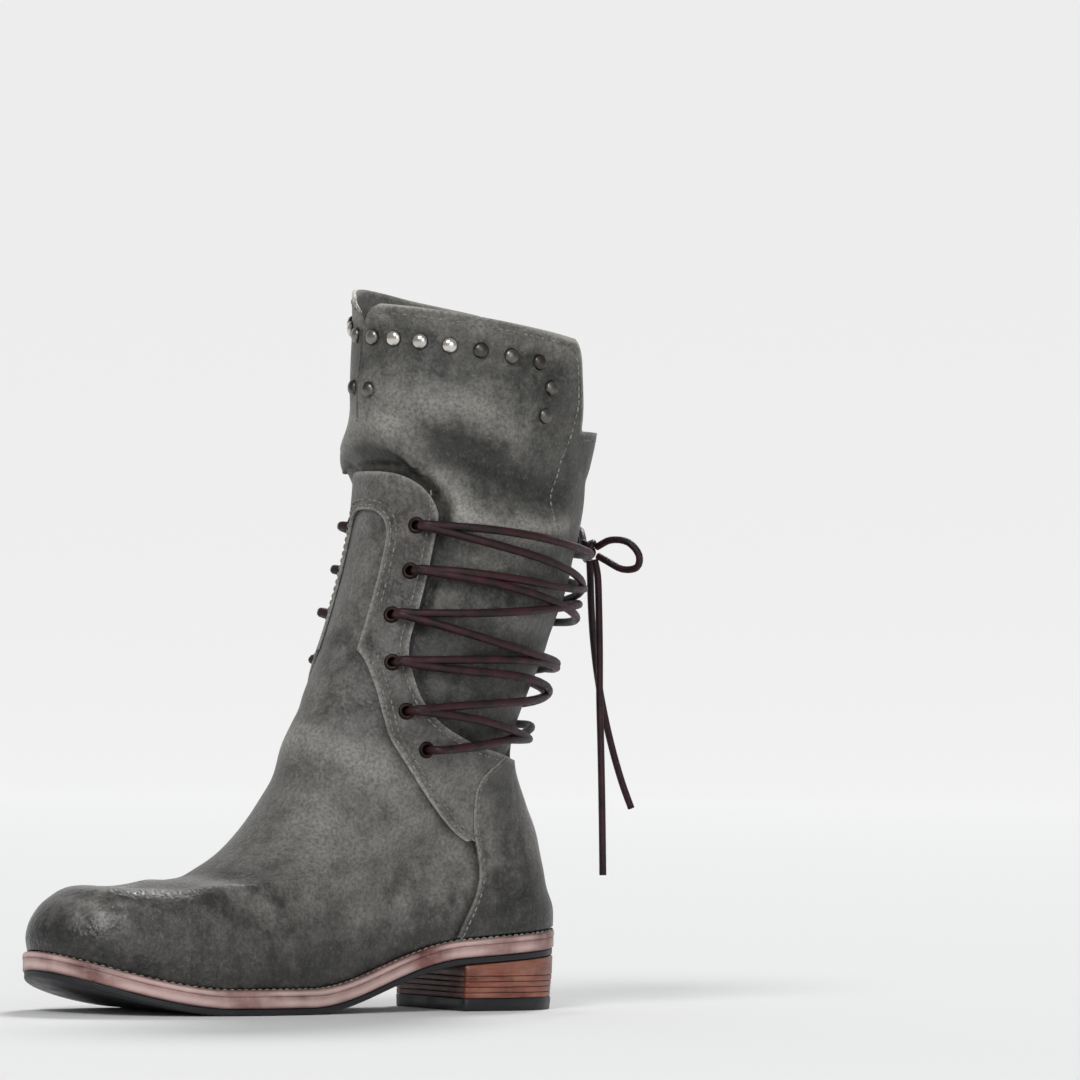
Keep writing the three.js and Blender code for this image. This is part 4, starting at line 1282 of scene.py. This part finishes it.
# Painted reflection: how bright each stud's metal is painted, some lit and some dark, lightest
# on the dome's top
STUD_GLINT = (0.35, 1.0, 0.85, 1.0, 0.12, 0.2, 0.1, 0.08, 0.2, 0.05)
for side, sign in (("lateral", 1), ("medial", -1)):
    for number, ((turn, below), glint) in enumerate(zip(stud_places, STUD_GLINT), 1):
        sided = sign * turn % (2 * math.pi)
        height = float(collar_top(sided)) - STUD_INSET - below
        point, normal = at_height(shaft_form, sided, height, SHAFT_TOP)
        points, faces = lathe_mesh(STUD_PROFILE)
        wear_and_sheen = glint * smooth((points[:, 2] - 0.4) / 1.2)
        points = oriented(points, shaft_points(point[None], normal[None])[0], normal)
        name = f"stud_{side}_{number}"
        obj = mesh_object(name + "_dome", points, faces, {"wear_and_sheen": wear_and_sheen})
        finish_object(obj, [name], stud_metal)


# Lace

STRAND_RADIUS = 2.0
STRAND_STEPS = 64
STRAND_SLACK = (-3, 4, -4, 3, -2)
HOLE_BEND = 2.4
HOLE_DEPTH = 2.5


def strand_path(start, end, back_height, seed):
    """A strand from an eyelet round the back to another, bent out of both holes."""
    path = []
    for k in range(STRAND_STEPS + 1):
        s = share_at(math.pi * k / STRAND_STEPS)
        near = min(s, 1 - s)
        bulge = math.sin(math.pi * s)
        height = mix(start[2], end[2], s)
        height += (back_height - (start[2] + end[2]) / 2) * bulge ** 1.4
        height += 2.6 * math.sin(3 * math.pi * s + 2.1 * seed) * bulge
        point, normal = at_height(boot_form, mix(start[1], end[1], s), height, LAST_ROW)
        away = mix(LACE_REST - 0.7, LACE_STAND_OFF, bulge ** 3)
        away += 0.8 * math.sin(9 * s + 3 * seed) * bulge
        away += HOLE_BEND * band(near, 0.022, 0.02)
        away -= (LACE_REST + HOLE_DEPTH) * (1 - float(smooth(near / 0.018)))
        path.append(point + normal * away)
    return path


pairs = [(eyelets[2 * k], eyelets[2 * k + 1]) for k in range(len(EYELET_ROWS))]
back_heights = [row[2] * TAB_HEIGHT for row in EYELET_ROWS]
runs = [(*pairs[-1], back_heights[-1], 0.0)]
for row, slack in enumerate(STRAND_SLACK):
    crossing = (back_heights[row] + back_heights[row + 1]) / 2 + slack
    runs.append((pairs[row + 1][0], pairs[row][1], crossing, 1.0 + row))
    runs.append((pairs[row][0], pairs[row + 1][1], crossing - 6, 2.5 + row))
runs.append((*pairs[0], KNOT_HEIGHT, 0.5))
strands = joined([tube_mesh(strand_path(*run), STRAND_RADIUS) for run in runs])
finish_object(mesh_object("lace_strands", *strands), ["lace_crossings"], lace_leather)


def knot_mesh():
    """A tied knot: one line wound three times round itself."""
    t = np.linspace(0, 2 * math.pi, 91)
    x = 0.504 * np.sin(3 * t)
    y = 0.46 * (np.sin(t) + 2 * np.sin(2 * t))
    z = 0.40 * (np.cos(t) - 2 * np.cos(2 * t))
    path = (KNOT_RADIUS - LACE_RADIUS) * np.stack([x, y, z], -1) + knot_centre
    return tube_mesh(path, LACE_RADIUS * 0.95)


finish_object(mesh_object("lace_knot_tied", *knot_mesh()), ["lace_knot"], lace_leather)


# Stitches

STITCH_PITCH = 3.4
STITCH_RADIUS = 0.4
STITCH_LIFT = 0.1
STITCH_SPAN = 2.3 * np.array([-0.5, -0.3, 0, 0.3, 0.5])
STITCH_RISE = np.array([-0.4, 0.0, 0.12, 0.0, -0.4])


def on_form(form, top, side, x, z):
    """Turn and row of the form's point at x and z on one side."""
    turns = np.linspace(0.02, math.pi - 0.02, 120)
    rows = np.linspace(0, top, 160)
    turn, row = np.meshgrid(turns, rows, indexing="ij")
    if side == "medial":
        turn = 2 * math.pi - turn
    grid = form(turn, row)
    distance = np.hypot(grid[..., 0] - x, grid[..., 2] - z)
    spot = np.unravel_index(np.argmin(distance), turn.shape)
    t, r = turn[spot], row[spot]
    for _ in range(5):
        here = form(t, r)
        by_turn = (form(t + 1e-3, r) - here) / 1e-3
        by_row = (form(t, r + 1e-3) - here) / 1e-3
        a = np.array([[by_turn[0], by_row[0]], [by_turn[2], by_row[2]]])
        if abs(np.linalg.det(a)) < 1e-6:
            break
        step = np.linalg.solve(a, [x - here[0], z - here[2]])
        t += np.clip(step[0], -0.05, 0.05)
        r = float(np.clip(r + np.clip(step[1], -0.3, 0.3), 0, top))
    return t, r


def resampled(line, pitch=STITCH_PITCH):
    """Points along a line, a pitch apart."""
    line = np.asarray(line, float)
    lengths = np.concatenate([[0], np.cumsum(np.linalg.norm(np.diff(line, axis=0), axis=1))])
    spots = np.arange(pitch / 2, lengths[-1], pitch)
    return np.stack([np.interp(spots, lengths, column) for column in line.T], -1)


def stitched(points, normals):
    """A stitch at each point of a line, along it, its ends sunk into the leather."""
    parts = []
    for point, tangent, normal in zip(points, np.gradient(points, axis=0), normals):
        path = point + np.outer(STITCH_SPAN, tangent / np.linalg.norm(tangent))
        parts.append(tube_mesh(path + np.outer(STITCH_RISE, normal), STITCH_RADIUS, 5))
    return parts


def stitches_on(points_of, form, top, places):
    """Stitches on a surface's face, through the form's points at turns and rows."""
    turn, row = np.array(places, float).T
    base = form(turn, row)
    normal = normal_of(form, turn, row, top)
    return stitched(points_of(base, normal) + normal * STITCH_LIFT, normal)


def side_stitches(line, side, points_of, form, top):
    """Stitches along a line drawn in the side view."""
    places = [on_form(form, top, side, x, z) for x, z in resampled(line)]
    return stitches_on(points_of, form, top, places)


def shifted(line, distance):
    """A side-view line moved sideways: positive to the left of its direction."""
    line = np.asarray(line, float)
    tangent = np.gradient(line, axis=0)
    tangent /= np.linalg.norm(tangent, axis=1, keepdims=True)
    return line + distance * np.stack([-tangent[:, 1], tangent[:, 0]], -1)


def seam_parts():
    """Stitches along the shaft's opening and the edges of the facing and the counter."""
    opening_part = opening_line[(opening_line[:, 1] < 250) & (opening_line[:, 0] < -14)]
    facing_part = facing_line[facing_line[:, 1] < 170]
    seams = [(opening_part, -3.2), (facing_part, -2.2), (facing_part, -4.6), (counter_line, 2.4)]
    parts = []
    for side in ("lateral", "medial"):
        for line, distance in seams:
            seam = shifted(line, distance)
            parts += side_stitches(seam, side, overlay_points, boot_form, LAST_ROW)
    return parts


COLLAR_INSET = 4.2
REAR_SEAM = [(16, 275), (10, 262), (7, 247), (4, 233), (2, 222)]


def collar_parts():
    """Stitches inside the flaps' top and rear edges, and down the shaft behind them."""
    parts = []
    edge_x = FLAP_REAR_X - COLLAR_INSET
    reach = FLAP_CORNER - COLLAR_INSET / 2
    strip = [(x, BACK_STRIP_HEIGHT - 4) for x in (26, 34, 42)]
    for side, sign in (("lateral", 1), ("medial", -1)):
        line = []
        for turn in np.radians(np.linspace(9, 101, 26)) * sign:
            height = collar_top(turn) - COLLAR_INSET
            point, _ = at_height(shaft_form, float(turn), height, SHAFT_TOP)
            if point[0] < FLAP_REAR_X - FLAP_CORNER:
                line.append((point[0], height))
        corner_top = float(collar_top(FLAP_CORNER_TURN * sign)) - COLLAR_INSET
        corner_z = corner_top - reach * np.linspace(0, 1, 7) ** 2
        line += zip(bend(edge_x - reach, edge_x, edge_x, 7), corner_z)
        line += [(edge_x, 290), *REAR_SEAM]
        for seam in (line, strip):
            parts += side_stitches(seam, side, shaft_points, shaft_form, SHAFT_TOP)
    return parts


def vamp_tab_parts():
    """The stitched arch round the vamp's tab, drawn in the front view."""
    parts = []
    leg = SHAFT_WIDTH * 0.46
    for outward in (2.2, 4.6):
        places = []
        outline = arch(VAMP_TAB_HALF_WIDTH + outward, VAMP_TAB_HEIGHT + outward,
                       VAMP_TAB_CORNER + outward, 188)
        for y, z in resampled(outline):
            turn = math.asin(np.clip(-y / leg, -1, 1))
            for _ in range(6):
                row = row_at(boot_form, turn, z, LAST_ROW)
                turn += (boot_form(turn, row)[1] - y) / leg
            places.append((turn, row_at(boot_form, turn, z, LAST_ROW)))
        parts += stitches_on(overlay_points, boot_form, LAST_ROW, places)
    return parts


def welt_parts():
    """The row of stitches on the welt's ledge."""
    turn = np.linspace(0, 2 * math.pi, 700)
    x, y = plan_point(turn, ledge_at(share_at(turn)) * 0.45)
    line = np.stack([x, y, sole_height(x) + WELT_LEVEL + WELT_THICKNESS], -1)
    spots = resampled(line, STITCH_PITCH * 1.1)
    return stitched(spots, np.tile([0, 0, 1.0], (len(spots), 1)))


for name, parts, slot in (
    ("upper_stitches", seam_parts() + vamp_tab_parts(), "vamp_leather"),
    ("collar_stitches", collar_parts(), "vamp_leather"),
    ("welt_stitches", welt_parts(), "sole_leather"),
):
    finish_object(mesh_object(name, *joined(parts)), [], thread)


# Floor, backdrop and light

# Depth behind the boot and height, in metres
BACKDROP_PROFILE = [(-8, 0), (-2, 0), (4, 0), (6, 0), (8, 0.3), (9.4, 1.3), (10, 3), (10, 9)]
BACKDROP_HALF_WIDTH = 12
GLOW_START = 4.5
GLOW_REACH = 2.5


def add_backdrop():
    """A pale floor that curves up far behind the boot and glows evenly from there on."""
    profile = curve_through(BACKDROP_PROFILE, 6)
    forward = Vector((-math.sin(CAMERA_AZIMUTH), math.cos(CAMERA_AZIMUTH), 0))
    across = Vector((math.cos(CAMERA_AZIMUTH), math.sin(CAMERA_AZIMUTH), 0))
    points = []
    for depth, height in profile:
        for side in (-BACKDROP_HALF_WIDTH, BACKDROP_HALF_WIDTH):
            point = forward * float(depth) + across * side
            points.append((point.x / MM, point.y / MM, max(0.0, float(height)) / MM))
    faces = [(2 * k, 2 * k + 1, 2 * k + 3, 2 * k + 2) for k in range(len(profile) - 1)]
    glow = np.repeat(smooth((profile[:, 0] - GLOW_START) / GLOW_REACH), 2)
    obj = mesh_object("backdrop", points, faces, {"glow": glow})
    obj.visible_shadow = False
    paper = Nodes("backdrop_paper", 0.95)
    paper.shader.inputs["Specular IOR Level"].default_value = 0.1
    paper.shader.inputs["Emission Color"].default_value = colour("ececec")
    glowing = paper.layer("glow")
    paper.tree.links.new(glowing, paper.shader.inputs["Emission Strength"])
    obj.data.materials.append(paper.finish(paper.blend(glowing, "dfdfdf", "000000")))


def add_sun(name, azimuth, elevation, strength, spread):
    """A soft sun from an azimuth in the camera's sense and an elevation, in degrees."""
    data = bpy.data.lights.new(name, "SUN")
    data.energy = strength
    data.angle = math.radians(spread)
    obj = bpy.data.objects.new(name, data)
    bpy.context.scene.collection.objects.link(obj)
    a, e = math.radians(azimuth), math.radians(elevation)
    source = Vector((math.sin(a) * math.cos(e), -math.cos(a) * math.cos(e), math.sin(e)))
    obj.rotation_euler = source.to_track_quat("Z", "Y").to_euler()


add_backdrop()
add_sun("key", -52, 40, 1.3, 18)
add_sun("front", -15, 14, 0.5, 36)
add_sun("back", 128, 46, 1.9, 16)
world = bpy.data.worlds.new("studio")
world.use_nodes = True
world.node_tree.nodes["Background"].inputs["Color"].default_value = (0.96, 0.98, 1.0, 1)
world.node_tree.nodes["Background"].inputs["Strength"].default_value = 0.34
bpy.context.scene.world = world
bpy.context.scene.view_settings.view_transform = "Standard"
